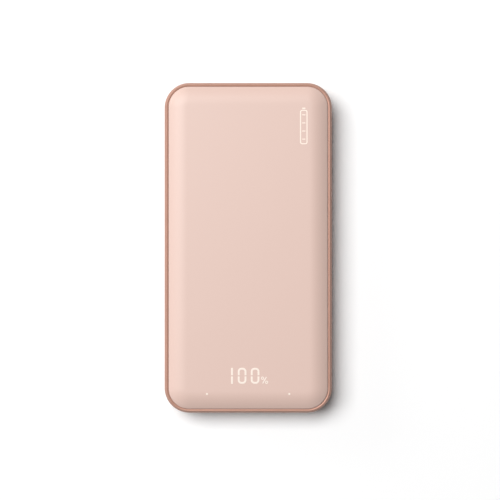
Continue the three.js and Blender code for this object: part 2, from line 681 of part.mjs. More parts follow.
function battery() {
  return group(
    piece("foam_pad_lower", "foam", cellSheet(LOWER_FOAM_Z, FOAM.thickness)),
    piece("battery_cell_lower", "foil", pouchCell(LOWER_CELL_Z)),
    piece("cell_tape", "tape", cellSheet(TAPE_Z, TAPE_THICKNESS)),
    piece("battery_cell_upper", "foil", pouchCell(UPPER_CELL_Z)),
    piece("foam_pad_upper", "foam", cellSheet(UPPER_FOAM_Z, FOAM.thickness)),
    piece("lower_tab_negative", "nickel", lowerTab(-TAB.lowerX)),
    piece("lower_tab_positive", "nickel", lowerTab(TAB.lowerX)),
    piece("upper_tab_negative", "nickel", upperTab(-TAB.upperX)),
    piece("upper_tab_positive", "nickel", upperTab(TAB.upperX)),
    piece("thermistor", "bead", thermistor()),
  );
}

export default group(housing(), receptacles(), mainBoardAssembly(), displayAssembly(), battery());
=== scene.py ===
"""A slim power bank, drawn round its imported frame.

Two rolled-edge covers, a rose-gold mid frame with its socket mouths, the side button,
three sockets with their contacts, the lit charge display, a printed battery sign and a pale stage.
Metres throughout. X runs across the bank, Y along it with the sockets at the -Y end, and Z up.
"""

import math

import bmesh
import bpy
import numpy as np
from bpy.props import FloatProperty, FloatVectorProperty, PointerProperty
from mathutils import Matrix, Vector


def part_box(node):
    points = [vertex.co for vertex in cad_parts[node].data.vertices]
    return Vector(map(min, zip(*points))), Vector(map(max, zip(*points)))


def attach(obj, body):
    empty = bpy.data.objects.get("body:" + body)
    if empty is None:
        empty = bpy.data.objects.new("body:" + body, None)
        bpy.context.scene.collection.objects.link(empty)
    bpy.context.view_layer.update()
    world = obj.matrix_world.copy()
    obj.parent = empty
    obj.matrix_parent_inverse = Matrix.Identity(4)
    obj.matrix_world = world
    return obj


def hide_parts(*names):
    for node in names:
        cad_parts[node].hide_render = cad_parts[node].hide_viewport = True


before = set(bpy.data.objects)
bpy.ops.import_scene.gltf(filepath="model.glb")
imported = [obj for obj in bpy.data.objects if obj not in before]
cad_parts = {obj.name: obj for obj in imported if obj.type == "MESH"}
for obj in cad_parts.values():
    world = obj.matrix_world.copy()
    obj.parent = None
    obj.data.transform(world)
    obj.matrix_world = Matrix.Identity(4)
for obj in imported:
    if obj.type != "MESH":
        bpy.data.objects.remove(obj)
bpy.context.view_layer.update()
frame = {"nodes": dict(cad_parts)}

bl_info = {
    "name": "Power bank",
    "version": (1, 0, 0),
    "blender": (4, 5, 0),
    "location": "View3D > Sidebar > Power bank",
    "description": "Builds a slim power bank and its stage round a packed frame",
    "category": "Add Mesh",
}

# ---------------------------------------------------------------- places read from the frame

FRAME_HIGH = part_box("mid_frame")[1]
COVER_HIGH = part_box("top_cover")[1]
HALF_X = FRAME_HIGH.x
HALF_Y = FRAME_HIGH.y
TOP_Z = COVER_HIGH.z
MID_Z = TOP_Z / 2
BEAD_TOP = FRAME_HIGH.z

MM = 0.001
MERGE = 2e-6  # points closer than this are one

# how finely the housing is drawn
CORNER_STEPS = 28
SIDE_SPACING = 4 * MM
BAND_ROWS = 22
EDGE_STEPS = 10
ROLL_STEPS = 30
CEILING_STEPS = 14
LIP_STEPS = 6

# details that the frame, the button and the sockets share
FLANGE_RIM_Y = 1.2 * MM  # how far the button's flange stands out past the ends of its cap
FLANGE_RIM_Z = 0.9 * MM  # the same past the cap's long sides
FLANGE_DEPTH = 0.7 * MM
MOUTH_CLEARANCE = 0.3 * MM  # round the small socket's shell and the button's cap
MOUTH_OVERLAP = 0.1 * MM  # how far the frame covers the edges of the large sockets' shells
PANEL = 0.6 * MM  # thickness of the wall in front of a large shell
POCKET = 0.4 * MM  # how far the wall's opening widens behind that panel
SHELL_WALL = 0.3 * MM
LARGE_CORNER = 0.8 * MM  # corner radius of the large sockets' shells and mouths
LARGE_RIM, SMALL_RIM, BUTTON_RIM = 0.6 * MM, 0.75 * MM, 0.7 * MM  # wall drawn along with each mouth


def length(label, value, words):
    """A size in metres that can be changed in the panel."""
    return FloatProperty(name=label, description=words, default=value, min=0, unit="LENGTH", precision=5)


def position(label, value, words):
    """A place in metres, on either side of the origin."""
    return FloatProperty(name=label, description=words, default=value, unit="LENGTH", precision=5)


def watts(label, value, words):
    """A lamp's power."""
    return FloatProperty(name=label, description=words, default=value, min=0, unit="POWER")


def colour(label, value, words):
    """A linear colour that can be changed in the panel."""
    return FloatVectorProperty(
        name=label, description=words, default=value, size=3, min=0, max=1, subtype="COLOR"
    )


class BankSizes(bpy.types.PropertyGroup):
    """Sizes of the housing's section and of what is printed or lit on it."""

    corner_radius: length("Corner radius", 10.4 * MM, "Radius of the housing's corners, seen from above")
    wall: length("Frame wall", 1.7 * MM, "Thickness of the mid frame's wall")
    band: length("Flat band", 6.6 * MM, "Height of the flat middle of the mid frame")
    crest: length("Frame crest", 0.95 * MM, "How far in from the outline the frame's edge is highest")
    land_fall: length("Land fall", 0.2 * MM, "How far the land falls from the crest to the cover")
    shoulder_round: length("Shoulder round", 0.35 * MM, "Softening between the band and the chamfer")
    crest_round: length("Crest round", 0.16 * MM, "Softening at the frame's crest")
    rim_round: length("Rim round", 0.1 * MM, "Softening at the land's inner edge")
    cover_wall: length("Cover wall", 1.2 * MM, "Thickness of the covers")
    edge_round: length("Edge round", 0.7 * MM, "Radius at the cover's outer edge")
    cover_gap: length("Cover gap", 0.08 * MM, "Gap between the frame and the cover")
    roll_width: length("Roll width", 7.5 * MM, "Width of the cover's slope next to its edge")
    roll_drop: length("Roll drop", 1.9 * MM, "How far the cover's slope falls")
    roll_power: FloatProperty(
        name="Roll power", description="How late the slope steepens", default=2.3, min=1.5
    )
    lip: length("Mouth lip", 0.22 * MM, "Round on the edge of each opening in the frame")
    digit_height: length("Digit height", 6.65 * MM, "Height of the lit digits")
    digit_width: length("Digit width", 3.6 * MM, "Width of a lit nought")
    stroke: length("Digit stroke", 0.8 * MM, "Width of a lit stroke")
    mark_length: length("Sign length", 15.4 * MM, "Length of the printed battery sign")
    mark_width: length("Sign width", 3.1 * MM, "Width of the printed battery sign")
    mark_stroke: length("Sign stroke", 0.42 * MM, "Line width of the printed battery sign")


class BankColours(bpy.types.PropertyGroup):
    """Colours of the finishes that show."""

    cover: colour("Cover", (0.69, 0.50, 0.435), "Satin pink of the covers")
    frame: colour("Frame", (0.455, 0.25, 0.188), "Rose-gold paint of the frame and the button")
    light: colour("Display light", (0.80, 0.70, 0.62), "Warm white of the digits")
    mark: colour("Printed sign", (0.93, 0.80, 0.70), "Cream ink")
    floor: colour("Floor", (0.96, 0.96, 0.96), "Pale table top")


class BankStudio(bpy.types.PropertyGroup):
    """The softbox overhead, the low side light, the room's light and the camera."""

    light_x: position("Softbox X", -1.57, "Softbox's place across")
    light_y: position("Softbox Y", 1.1, "Softbox's place along")
    light_z: position("Softbox height", 3.0, "Height of the softbox")
    light_width: length("Softbox width", 3.0, "Width of the softbox")
    light_length: length("Softbox length", 2.3, "Length of the softbox")
    light_power: watts("Softbox power", 174.5, "Power of the softbox")
    side_x: position("Side light X", -1.3, "Side light's place across")
    side_y: position("Side light Y", 0.9, "Side light's place along")
    side_z: position("Side light height", 0.4, "Height of the side light")
    side_width: length("Side light width", 1.2, "Width of the side light")
    side_length: length("Side light length", 0.5, "Upright size of the side light")
    side_power: watts("Side light power", 6, "Power of the side light")
    ambient: FloatProperty(name="Room light", description="Strength of the room's even light", default=0.10)
    lens: FloatProperty(name="Lens", description="Focal length in millimetres", default=100)
    camera_x: position("Camera X", 0.00075, "Camera's place across")
    camera_y: position("Camera Y", -0.00092, "Camera's place along")
    camera_z: position("Camera height", 0.592, "Height over the floor")


# ---------------------------------------------------------------- paths and surfaces


def run(start, stop, steps):
    """Equal steps from start to stop, both ends included."""
    return np.linspace(start, stop, steps + 1)


def side_stops(low, high, windows=(), spacing=SIDE_SPACING):
    """Stops along a straight side: each window (low, high, steps) has its own equal steps, and the
    stretches between them are filled evenly.
    """

    def filled(start, end):
        return run(start, end, max(1, math.ceil((end - start) / spacing)))[1:]

    stops, reached = [np.array([low])], low
    for start, end, steps in sorted(windows):
        stops += [filled(reached, start), run(start, end, steps)[1:]]
        reached = end
    return np.concatenate([*stops, filled(reached, high)])


def ring_stations(half_width, half_height, radius, sides, arcs):
    """Core points and outward normals round a rounded rectangle, anticlockwise from its lower left corner.

    A point of the outline moved out by d is core + (radius + d) * normal. sides gives the stops of the
    lower, right, upper and left side, each from the smaller coordinate to the larger; arcs is the
    number of steps in each corner's quarter circle.
    """
    x, y = half_width - radius, half_height - radius
    core, normal = [], []
    turns = [(0, -1), (1, 0), (0, 1), (-1, 0)]
    corners = [(x, -y), (x, y), (-x, y), (-x, -y)]
    for side, (facing, corner) in enumerate(zip(turns, corners)):
        stops = np.asarray(sides[side], float)
        along = stops if side < 2 else stops[::-1]
        fixed = np.full(len(along), (-y, x, y, -x)[side])
        core.append(np.stack([along, fixed] if side % 2 == 0 else [fixed, along], axis=1))
        normal.append(np.tile(np.array(facing, float), (len(along), 1)))
        angle = math.radians(-90 + 90 * side) + run(0, math.pi / 2, arcs)[1:-1]
        core.append(np.tile(np.array(corner), (len(angle), 1)))
        normal.append(np.stack([np.cos(angle), np.sin(angle)], axis=1))
    return np.concatenate(core), np.concatenate(normal)


def plain_ring(half_width, half_height, radius, arcs, spacing=None):
    """Stations of a rounded rectangle or a stadium, with even stops on its sides or with none."""
    x, y = half_width - radius, half_height - radius
    stops = [side_stops(-reach, reach, spacing=spacing or 2 * reach + MM) for reach in (x, y, x, y)]
    return ring_stations(half_width, half_height, radius, stops, arcs)


def carried(profile, radius, stations):
    """The profile's (outward offset, height) points carried round a ring: one row of points for each."""
    core, normal = stations
    offset, height = np.asarray(profile, float).T
    flat = core[None] + (radius + offset)[:, None, None] * normal[None]
    rise = np.broadcast_to(height[:, None, None], flat.shape[:2] + (1,))
    return np.concatenate([flat, rise], axis=2)


class Surface:
    """Points and faces of one piece, gathered from the grids and caps that close it."""

    def __init__(self):
        self.points = []
        self.faces = []
        self.count = 0

    def _keep(self, points):
        start = self.count
        self.points.append(np.asarray(points, float).reshape(-1, 3))
        self.count += len(self.points[-1])
        return start

    def grid(self, points, close_rows=False, close_columns=False, keep=None):
        """Adds the quads of a grid of points, rows by columns by three; keep marks the quads that stay."""
        points = np.asarray(points, float)
        rows, columns = points.shape[:2]
        index = self._keep(points) + np.arange(rows * columns).reshape(rows, columns)
        if close_rows:
            index = np.concatenate([index, index[:1]], axis=0)
        if close_columns:
            index = np.concatenate([index, index[:, :1]], axis=1)
        quads = np.stack([index[:-1, :-1], index[:-1, 1:], index[1:, 1:], index[1:, :-1]], axis=-1)
        self.faces.extend((quads if keep is None else quads[keep]).reshape(-1, 4).tolist())
        return self

    def fan(self, ring, pole):
        """Adds triangles from a closed ring of points to one pole."""
        ring = np.asarray(ring, float)
        start = self._keep(ring)
        tip = self._keep([pole])
        here = start + np.arange(len(ring))
        self.faces.extend(np.stack([here, np.roll(here, -1), np.full(len(ring), tip)], axis=1).tolist())
        return self

    def lid(self, ring):
        """Adds one flat face that closes a ring of points."""
        start = self._keep(ring)
        self.faces.append(list(range(start, start + len(np.asarray(ring)))))
        return self

    def mesh(self, name):
        """The mesh of it all, its doubles merged and its faces turned outwards."""
        data = bpy.data.meshes.new(name)
        data.from_pydata(np.concatenate(self.points), [], self.faces)
        work = bmesh.new()
        work.from_mesh(data)
        bmesh.ops.remove_doubles(work, verts=work.verts, dist=MERGE)
        bmesh.ops.dissolve_degenerate(work, edges=work.edges, dist=MERGE / 4)
        bmesh.ops.recalc_face_normals(work, faces=work.faces)
        if work.calc_volume(signed=True) < 0:
            bmesh.ops.reverse_faces(work, faces=work.faces)
        work.to_mesh(data)
        work.free()
        return data


def rounded_block(surface, low, high, radius, steps=2):
    """Adds a box with rounded edges: each point of the box's faces is pulled in to the radius's distance
    from a smaller box that lies the radius inside it. Lines on the rounds are spaced by equal angles.
    """
    low, high = np.array(low, float), np.array(high, float)
    half, middle = (high - low) / 2, (high + low) / 2
    least_flat = 0.02  # a little of each half side stays flat
    radius = min(radius, *(half * (1 - least_flat)))
    inner = half - radius
    reach = radius * np.tan(run(0, math.pi / 4, steps))
    lines = [np.concatenate([-(core + reach)[::-1], core + reach]) for core in inner]
    for axis in range(3):
        u, v = [other for other in range(3) if other != axis]
        across, up = np.meshgrid(lines[u], lines[v], indexing="ij")
        for sign in (-1, 1):
            face = np.zeros(across.shape + (3,))
            face[..., u], face[..., v], face[..., axis] = across, up, sign * half[axis]
            core = np.clip(face, -inner, inner)
            out = face - core
            face = core + radius * out / np.linalg.norm(out, axis=2, keepdims=True)
            surface.grid(face + middle)
    return surface


def finished(data, name, material, body, replaced=(), sharp=35):
    """Makes the mesh a piece that rides on a body, has its finish and stands for CAD nodes."""
    piece = bpy.data.objects.new(name, data)
    bpy.context.scene.collection.objects.link(piece)
    data.materials.clear()
    data.materials.append(material)
    data.shade_smooth()
    data.set_sharp_from_angle(angle=math.radians(sharp))
    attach(piece, body)
    if replaced:
        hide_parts(*replaced)
    return piece


def combined(base, other, operation):
    """The base mesh with the other mesh fused to it (UNION) or taken out of it (DIFFERENCE)."""
    holders = [bpy.data.objects.new(data.name, data) for data in (base, other)]
    for holder in holders:
        bpy.context.scene.collection.objects.link(holder)
    modifier = holders[0].modifiers.new("Combined", "BOOLEAN")
    modifier.object = holders[1]
    modifier.operation = operation
    modifier.solver = "EXACT"
    bpy.context.view_layer.update()
    shown = holders[0].evaluated_get(bpy.context.evaluated_depsgraph_get())
    result = bpy.data.meshes.new_from_object(shown)
    for holder in holders:
        bpy.data.objects.remove(holder)
    result.name = base.name
    return result


# ---------------------------------------------------------------- shared effects as node groups


def add_node(tree, kind, **settings):
    """A node with its properties set by name, and its inputs by name or number from the inputs setting."""
    made = tree.nodes.new(kind)
    inputs = settings.pop("inputs", {})
    for key, value in settings.items():
        setattr(made, key, value)
    for key, value in inputs.items():
        made.inputs[key].default_value = value
    return made


def wire(tree, *links):
    """Makes links, each given as a node, its output, another node and its input."""
    for start, output, end, target in links:
        tree.links.new(start.outputs[output], end.inputs[target])


def effect(name, inputs, outputs):
    """An empty node group with its sockets, given as {name: (kind, default)} and {name: kind}."""
    tree = bpy.data.node_groups.new(name, "ShaderNodeTree")
    for label, (kind, default) in inputs.items():
        socket = tree.interface.new_socket(label, in_out="INPUT", socket_type=kind)
        socket.default_value = default
    for label, kind in outputs.items():
        tree.interface.new_socket(label, in_out="OUTPUT", socket_type=kind)
    return tree, tree.nodes.new("NodeGroupInput"), tree.nodes.new("NodeGroupOutput")


def grain_effect():
    """Moulded grain: fine noise with a finer one over it, as a height and as a 0 to 1 mask."""
    inputs = {"Scale": ("NodeSocketFloat", 1000.0), "Fineness": ("NodeSocketFloat", 2.0)}
    outputs = {"Height": "NodeSocketFloat", "Mask": "NodeSocketFloat"}
    tree, source, result = effect("Moulded grain", inputs, outputs)
    place = add_node(tree, "ShaderNodeTexCoord")
    coarse = add_node(tree, "ShaderNodeTexNoise", inputs={"Detail": 3.0, "Roughness": 0.6})
    finer = add_node(tree, "ShaderNodeMath", operation="MULTIPLY")
    fine = add_node(tree, "ShaderNodeTexVoronoi", inputs={"Randomness": 1.0})
    blend = add_node(tree, "ShaderNodeMath", operation="MULTIPLY_ADD", inputs={1: 0.4})
    wire(
        tree,
        (place, "Object", coarse, "Vector"),
        (place, "Object", fine, "Vector"),
        (source, "Scale", coarse, "Scale"),
        (source, "Scale", finer, 0),
        (source, "Fineness", finer, 1),
        (finer, 0, fine, "Scale"),
        (fine, "Distance", blend, 0),
        (coarse, "Fac", blend, 2),
        (blend, 0, result, "Height"),
        (coarse, "Fac", result, "Mask"),
    )
    return tree


def drift_effect():
    """Slow drift of tone: a colour made a little lighter and darker in soft patches."""
    inputs = {
        "Colour": ("NodeSocketColor", (0.5, 0.5, 0.5, 1.0)),
        "Amount": ("NodeSocketFloat", 0.05),
        "Scale": ("NodeSocketFloat", 40.0),
    }
    tree, source, result = effect("Tone drift", inputs, {"Colour": "NodeSocketColor"})
    place = add_node(tree, "ShaderNodeTexCoord")
    patches = add_node(tree, "ShaderNodeTexNoise", inputs={"Detail": 2.0, "Roughness": 0.5})
    centred = add_node(tree, "ShaderNodeMath", operation="SUBTRACT", inputs={1: 0.5})
    swing = add_node(tree, "ShaderNodeMath", operation="MULTIPLY")
    level = add_node(tree, "ShaderNodeMath", operation="ADD", inputs={1: 1.0})
    shade = add_node(tree, "ShaderNodeHueSaturation")
    wire(
        tree,
        (place, "Object", patches, "Vector"),
        (source, "Scale", patches, "Scale"),
        (patches, "Fac", centred, 0),
        (centred, 0, swing, 0),
        (source, "Amount", swing, 1),
        (swing, 0, level, 0),
        (level, 0, shade, "Value"),
        (source, "Colour", shade, "Color"),
        (shade, "Color", result, "Colour"),
    )
    return tree


def drawn_effect():
    """Marks of drawing and rolling: noise stretched far along Y, as a height and as a 0 to 1 mask."""
    inputs = {"Scale": ("NodeSocketFloat", 3000.0), "Stretch": ("NodeSocketFloat", 0.03)}
    outputs = {"Height": "NodeSocketFloat", "Mask": "NodeSocketFloat"}
    tree, source, result = effect("Drawn metal", inputs, outputs)
    place = add_node(tree, "ShaderNodeTexCoord")
    split = add_node(tree, "ShaderNodeSeparateXYZ")
    squeeze = add_node(tree, "ShaderNodeMath", operation="MULTIPLY")
    rejoin = add_node(tree, "ShaderNodeCombineXYZ")
    lines = add_node(tree, "ShaderNodeTexNoise", inputs={"Detail": 4.0, "Roughness": 0.65})
    wire(
        tree,
        (place, "Object", split, 0),
        (split, "X", rejoin, "X"),
        (split, "Y", squeeze, 0),
        (source, "Stretch", squeeze, 1),
        (squeeze, 0, rejoin, "Y"),
        (split, "Z", rejoin, "Z"),
        (rejoin, 0, lines, "Vector"),
        (source, "Scale", lines, "Scale"),
        (lines, "Fac", result, "Height"),
        (lines, "Fac", result, "Mask"),
    )
    return tree


EFFECTS = {"Moulded grain": grain_effect, "Tone drift": drift_effect, "Drawn metal": drawn_effect}


def place_effect(tree, name, **inputs):
    """A copy of a shared effect in a material, with its own values."""
    group = bpy.data.node_groups.get(name) or EFFECTS[name]()
    made = tree.nodes.new("ShaderNodeGroup")
    made.node_tree = group
    for label, value in inputs.items():
        made.inputs[label].default_value = value
    return made


# ---------------------------------------------------------------- finishes


def shader_of(name, **values):
    """A new material and its Principled shader, with the shader's own sockets set by name."""
    material = bpy.data.materials.new(name)
    material.use_nodes = True
    tree = material.node_tree
    shader = next(made for made in tree.nodes if made.type == "BSDF_PRINCIPLED")
    for label, value in values.items():
        shader.inputs[label.replace("_", " ")].default_value = value
    return material, tree, shader


def drift_colour(tree, shader, base, amount, scale):
    """Gives the shader a base colour that drifts a little in tone."""
    drift = place_effect(tree, "Tone drift", Colour=(*base, 1.0), Amount=amount, Scale=scale)
    tree.links.new(drift.outputs["Colour"], shader.inputs["Base Color"])


def vary_roughness(tree, shader, mask, low, high):
    """Gives the shader a roughness between low and high as a 0 to 1 mask says."""
    spread = add_node(tree, "ShaderNodeMapRange", inputs={"To Min": low, "To Max": high})
    tree.links.new(mask, spread.inputs["Value"])
    tree.links.new(spread.outputs["Result"], shader.inputs["Roughness"])


def raise_bump(tree, shader, height, distance, strength):
    """Gives the shader a bump of that height in metres."""
    bump = add_node(tree, "ShaderNodeBump", inputs={"Strength": strength, "Distance": distance})
    tree.links.new(height, bump.inputs["Height"])
    tree.links.new(bump.outputs["Normal"], shader.inputs["Normal"])


def moulded(name, base, rough, scale, depth, drift=0.03, **values):
    """A moulded or pressed finish: drifting tone, fine grain in the surface and in its gloss."""
    material, tree, shader = shader_of(name, **values)
    drift_colour(tree, shader, base, drift, 45.0)
    grain = place_effect(tree, "Moulded grain", Scale=scale, Fineness=2.2)
    vary_roughness(tree, shader, grain.outputs["Mask"], rough - 0.06, rough + 0.06)
    raise_bump(tree, shader, grain.outputs["Height"], depth, 0.5)
    return material


def drawn(name, base, rough, scale, depth, **values):
    """A drawn, rolled or plated metal: streaks along Y in its gloss and surface, over a drifting tone."""
    material, tree, shader = shader_of(name, Metallic=1.0, **values)
    drift_colour(tree, shader, base, 0.08, 120.0)
    streaks = place_effect(tree, "Drawn metal", Scale=scale)
    vary_roughness(tree, shader, streaks.outputs["Mask"], rough - 0.1, rough + 0.14)
    raise_bump(tree, shader, streaks.outputs["Height"], depth, 0.5)
    return material


def flake_paint(name, base, rough):
    """Rose-gold paint: flakes a tenth of a millimetre wide, some lighter and some darker, under a grain."""
    material, tree, shader = shader_of(name, Metallic=0.27, Specular_IOR_Level=0.35)
    place = add_node(tree, "ShaderNodeTexCoord")
    flakes = add_node(tree, "ShaderNodeTexVoronoi", inputs={"Scale": 9000.0})
    tint = add_node(tree, "ShaderNodeHueSaturation", inputs={"Color": (*base, 1.0)})
    level = add_node(tree, "ShaderNodeMapRange", inputs={"To Min": 0.93, "To Max": 1.07})
    grain = place_effect(tree, "Moulded grain", Scale=2600.0, Fineness=2.0)
    split = add_node(tree, "ShaderNodeSeparateColor")
    wire(
        tree,
        (place, "Object", flakes, "Vector"),
        (flakes, "Color", split, "Color"),
        (split, "Red", level, "Value"),
        (level, "Result", tint, "Value"),
        (tint, "Color", shader, "Base Color"),
    )
    vary_roughness(tree, shader, grain.outputs["Mask"], rough - 0.05, rough + 0.05)
    raise_bump(tree, shader, grain.outputs["Height"], 0.004 * MM, 0.4)
    return material


def lit(name, base, strength):
    """Light that comes through the cover: a warm glow, a little uneven as a diffuser is."""
    material, tree, shader = shader_of(name, Roughness=0.5, Emission_Strength=strength)
    for socket, amount in (("Base Color", 0.02), ("Emission Color", 0.10)):
        drift = place_effect(tree, "Tone drift", Colour=(*base, 1.0), Amount=amount, Scale=400.0)
        tree.links.new(drift.outputs["Colour"], shader.inputs[socket])
    return material


def laminate(name, base):
    """Solder mask over glass cloth: a faint square weave under a glossy film."""
    material, tree, shader = shader_of(name, Coat_Weight=0.5, Coat_Roughness=0.12)
    place = add_node(tree, "ShaderNodeTexCoord")
    shades = {"Color1": 1.0, "Color2": 1.25, "Mortar": 0.7}
    threads = {label: (*[part * share for part in base], 1.0) for label, share in shades.items()}
    sizes = {"Scale": 1600.0, "Mortar Size": 0.06}
    weave = add_node(tree, "ShaderNodeTexBrick", offset=0.0, inputs=sizes | threads)
    grain = place_effect(tree, "Moulded grain", Scale=1500.0, Fineness=2.0)
    wire(
        tree,
        (place, "Object", weave, "Vector"),
        (weave, "Color", shader, "Base Color"),
    )
    vary_roughness(tree, shader, grain.outputs["Mask"], 0.3, 0.45)
    raise_bump(tree, shader, weave.outputs["Fac"], 0.01 * MM, 0.3)
    return material


FINISH_MAKERS = {
    "cover_plastic": lambda c: moulded("Satin cover", c.cover, 0.44, 2200.0, 0.006 * MM, 0.008),
    "frame_finish": lambda c: flake_paint("Rose-gold paint", c.frame, 0.48),
    "port_steel": lambda c: drawn("Drawn steel", (0.62, 0.62, 0.63), 0.3, 2500.0, 0.004 * MM),
    "port_insulator": lambda c: moulded("Black moulding", (0.02, 0.02, 0.021), 0.48, 3000.0, 0.01 * MM),
    "contact_metal": lambda c: drawn("Plated contact", (0.83, 0.62, 0.31), 0.28, 4000.0, 0.002 * MM),
    "board_laminate": lambda c: laminate("Board laminate", (0.02, 0.12, 0.06)),
    "card": lambda c: moulded("Insulating card", (0.75, 0.70, 0.55), 0.8, 1500.0, 0.02 * MM),
    "inductor_core": lambda c: moulded("Pressed ferrite", (0.05, 0.05, 0.055), 0.65, 1800.0, 0.03 * MM),
    "chip_resin": lambda c: moulded("Chip resin", (0.03, 0.03, 0.03), 0.6, 4000.0, 0.008 * MM),
    "capacitor_can": lambda c: drawn("Bare can", (0.70, 0.70, 0.72), 0.35, 1800.0, 0.004 * MM),
    "screw_steel": lambda c: drawn("Zinc-plated screw", (0.45, 0.45, 0.46), 0.35, 2000.0, 0.004 * MM),
    "light_frame": lambda c: moulded("White moulding", (0.85, 0.85, 0.82), 0.6, 2500.0, 0.01 * MM),
    "display_light": lambda c: lit("Display light", c.light, 0.12),
    "mark_ink": lambda c: moulded("Cream ink", c.mark, 0.45, 5000.0, 0.003 * MM),
    "cell_foil": lambda c: drawn("Pouch foil", (0.60, 0.60, 0.61), 0.4, 600.0, 0.05 * MM),
    "foam": lambda c: moulded("Black foam", (0.03, 0.03, 0.03), 0.95, 900.0, 0.15 * MM),
}


def finish_for(slot, context):
    """The material of one of the record's slots, made the first time that it is asked for."""
    name = "Finish " + slot
    known = bpy.data.materials.get(name)
    if known:
        return known
    made = FINISH_MAKERS[slot](context.scene.bank_colours)
    made.name = name
    return made


# ---------------------------------------------------------------- covers


def housing_ring(sizes, windows=None):
    """Stations round the housing; windows maps a side's number to its (low, high, steps) stretches."""
    windows = windows or {}
    reaches = [half - sizes.corner_radius for half in (HALF_X, HALF_Y, HALF_X, HALF_Y)]
    sides = [side_stops(-reach, reach, windows.get(side, ())) for side, reach in enumerate(reaches)]
    return ring_stations(HALF_X, HALF_Y, sizes.corner_radius, sides, CORNER_STEPS)


def cover_section(sizes, band_top):
    """The top cover's section as (inset, height), from the ceiling's rim round the skirt to the flat top.

    The slope is top - drop * (1 - part)^power. The edge is a circle's arc that leaves the skirt
    upright and meets the slope at its own angle. The inside follows the slope a wall's thickness below.
    """
    wall, edge, drop, width, power = (
        sizes.cover_wall, sizes.edge_round, sizes.roll_drop, sizes.roll_width, sizes.roll_power
    )
    inset = sizes.wall + sizes.cover_gap
    slope = math.atan2(power * drop, width)
    arc = run(0, math.pi / 2 - slope, EDGE_STEPS)
    arc_base = TOP_Z - drop - edge * math.sin(arc[-1])
    edge_arc = np.stack([inset + edge * (1 - np.cos(arc)), arc_base + edge * np.sin(arc)], axis=1)
    part = run(0, 1, ROLL_STEPS)[1:]
    roll_start = edge_arc[-1, 0]
    roll = np.stack([roll_start + width * part, TOP_Z - drop * (1 - part) ** power], axis=1)
    inner_inset = inset + wall
    part = run(1, (inner_inset - roll_start) / width, CEILING_STEPS)
    inner_roll = np.stack([roll_start + width * part, TOP_Z - wall - drop * (1 - part) ** power], axis=1)
    break_edge = 0.12 * MM
    skirt = [
        (inner_inset, band_top + break_edge),
        (inner_inset - break_edge, band_top),
        (inset + break_edge, band_top),
        (inset, band_top + break_edge),
    ]
    return np.concatenate([inner_roll, skirt, edge_arc, roll])


def cover_shell(sizes, name):
    """The closed shell of the top cover, without what stands on its inside."""
    stations = housing_ring(sizes)
    section = cover_section(sizes, MID_Z + sizes.band / 2)
    rows = carried(section * np.array([-1, 1]), sizes.corner_radius, stations)
    shell = Surface().grid(rows, close_columns=True)
    shell.fan(rows[0], (0, 0, rows[0, 0, 2]))
    shell.fan(rows[-1], (0, 0, rows[-1, 0, 2]))
    return shell.mesh(name)


def make_covers(context):
    """The top cover and the bottom cover, which is the same shell turned over."""
    sizes = context.scene.bank_sizes
    finish = finish_for("cover_plastic", context)
    top = cover_shell(sizes, "top_cover_shell")
    bottom = cover_shell(sizes, "bottom_cover_shell")
    points = np.empty(len(bottom.vertices) * 3)
    bottom.vertices.foreach_get("co", points)
    points = points.reshape(-1, 3) * (-1, 1, -1) + (0, 0, TOP_Z)
    bottom.vertices.foreach_set("co", points.ravel())
    bottom.update()
    finished(top, "top_cover_shell", finish, "housing", ["top_cover"])
    finished(bottom, "bottom_cover_shell", finish, "housing", ["bottom_cover"])


# ---------------------------------------------------------------- mid frame


class Mouth:
    """An opening in the frame: its middle along the side, its half sizes, corner radius and steps."""

    def __init__(self, centre, half_width, half_height, radius, half_window, steps, arc):
        self.centre = centre
        self.radius = radius
        self.window = (centre - half_window, centre + half_window, steps)
        self.steps = steps
        self.arc = arc
        self.half_width = half_width
        self.half_height = half_height

    def stations(self):
        """Core points and normals whose ring matches the window's rectangle, from its lower left corner.

        Each corner's quarter circle is shared by two sides: half of it belongs to each.
        """
        x, y = self.half_width - self.radius, self.half_height - self.radius
        wide, tall = self.arc
        core, normal = [], []
        corners = [(-x, -y), (x, -y), (x, y), (-x, y)]
        for side in range(4):
            arc = wide if side % 2 == 0 else tall
            count = self.steps if side % 2 == 0 else BAND_ROWS
            straight = count - 2 * arc
            start, end = np.array(corners[side]), np.array(corners[(side + 1) % 4])
            first = math.radians(-135 + 90 * side) + run(0, math.pi / 4, arc)
            last = math.radians(-90 + 90 * side) + run(0, math.pi / 4, arc)[1:]
            middle = np.linspace(0, 1, straight + 1)[1:]
            between = start + middle[:, None] * (end - start)
            points = np.concatenate([np.tile(start, (len(first), 1)), between, np.tile(end, (len(last), 1))])
            angle = np.concatenate([first, np.full(len(middle), first[-1]), last])
            core.append(points[:-1])
            normal.append(np.stack([np.cos(angle), np.sin(angle)], axis=1)[:-1])
        return np.concatenate(core) + (self.centre, MID_Z), np.concatenate(normal)


def rectangle_ring(across, up):
    """The grid points on a rectangle's edge, anticlockwise from its lower left corner."""
    lower = np.stack([across[:-1], np.full(len(across) - 1, up[0])], axis=1)
    right = np.stack([np.full(len(up) - 1, across[-1]), up[:-1]], axis=1)
    upper = np.stack([across[:0:-1], np.full(len(across) - 1, up[-1])], axis=1)
    left = np.stack([np.full(len(up) - 1, across[0]), up[:0:-1]], axis=1)
    return np.concatenate([lower, right, upper, left])


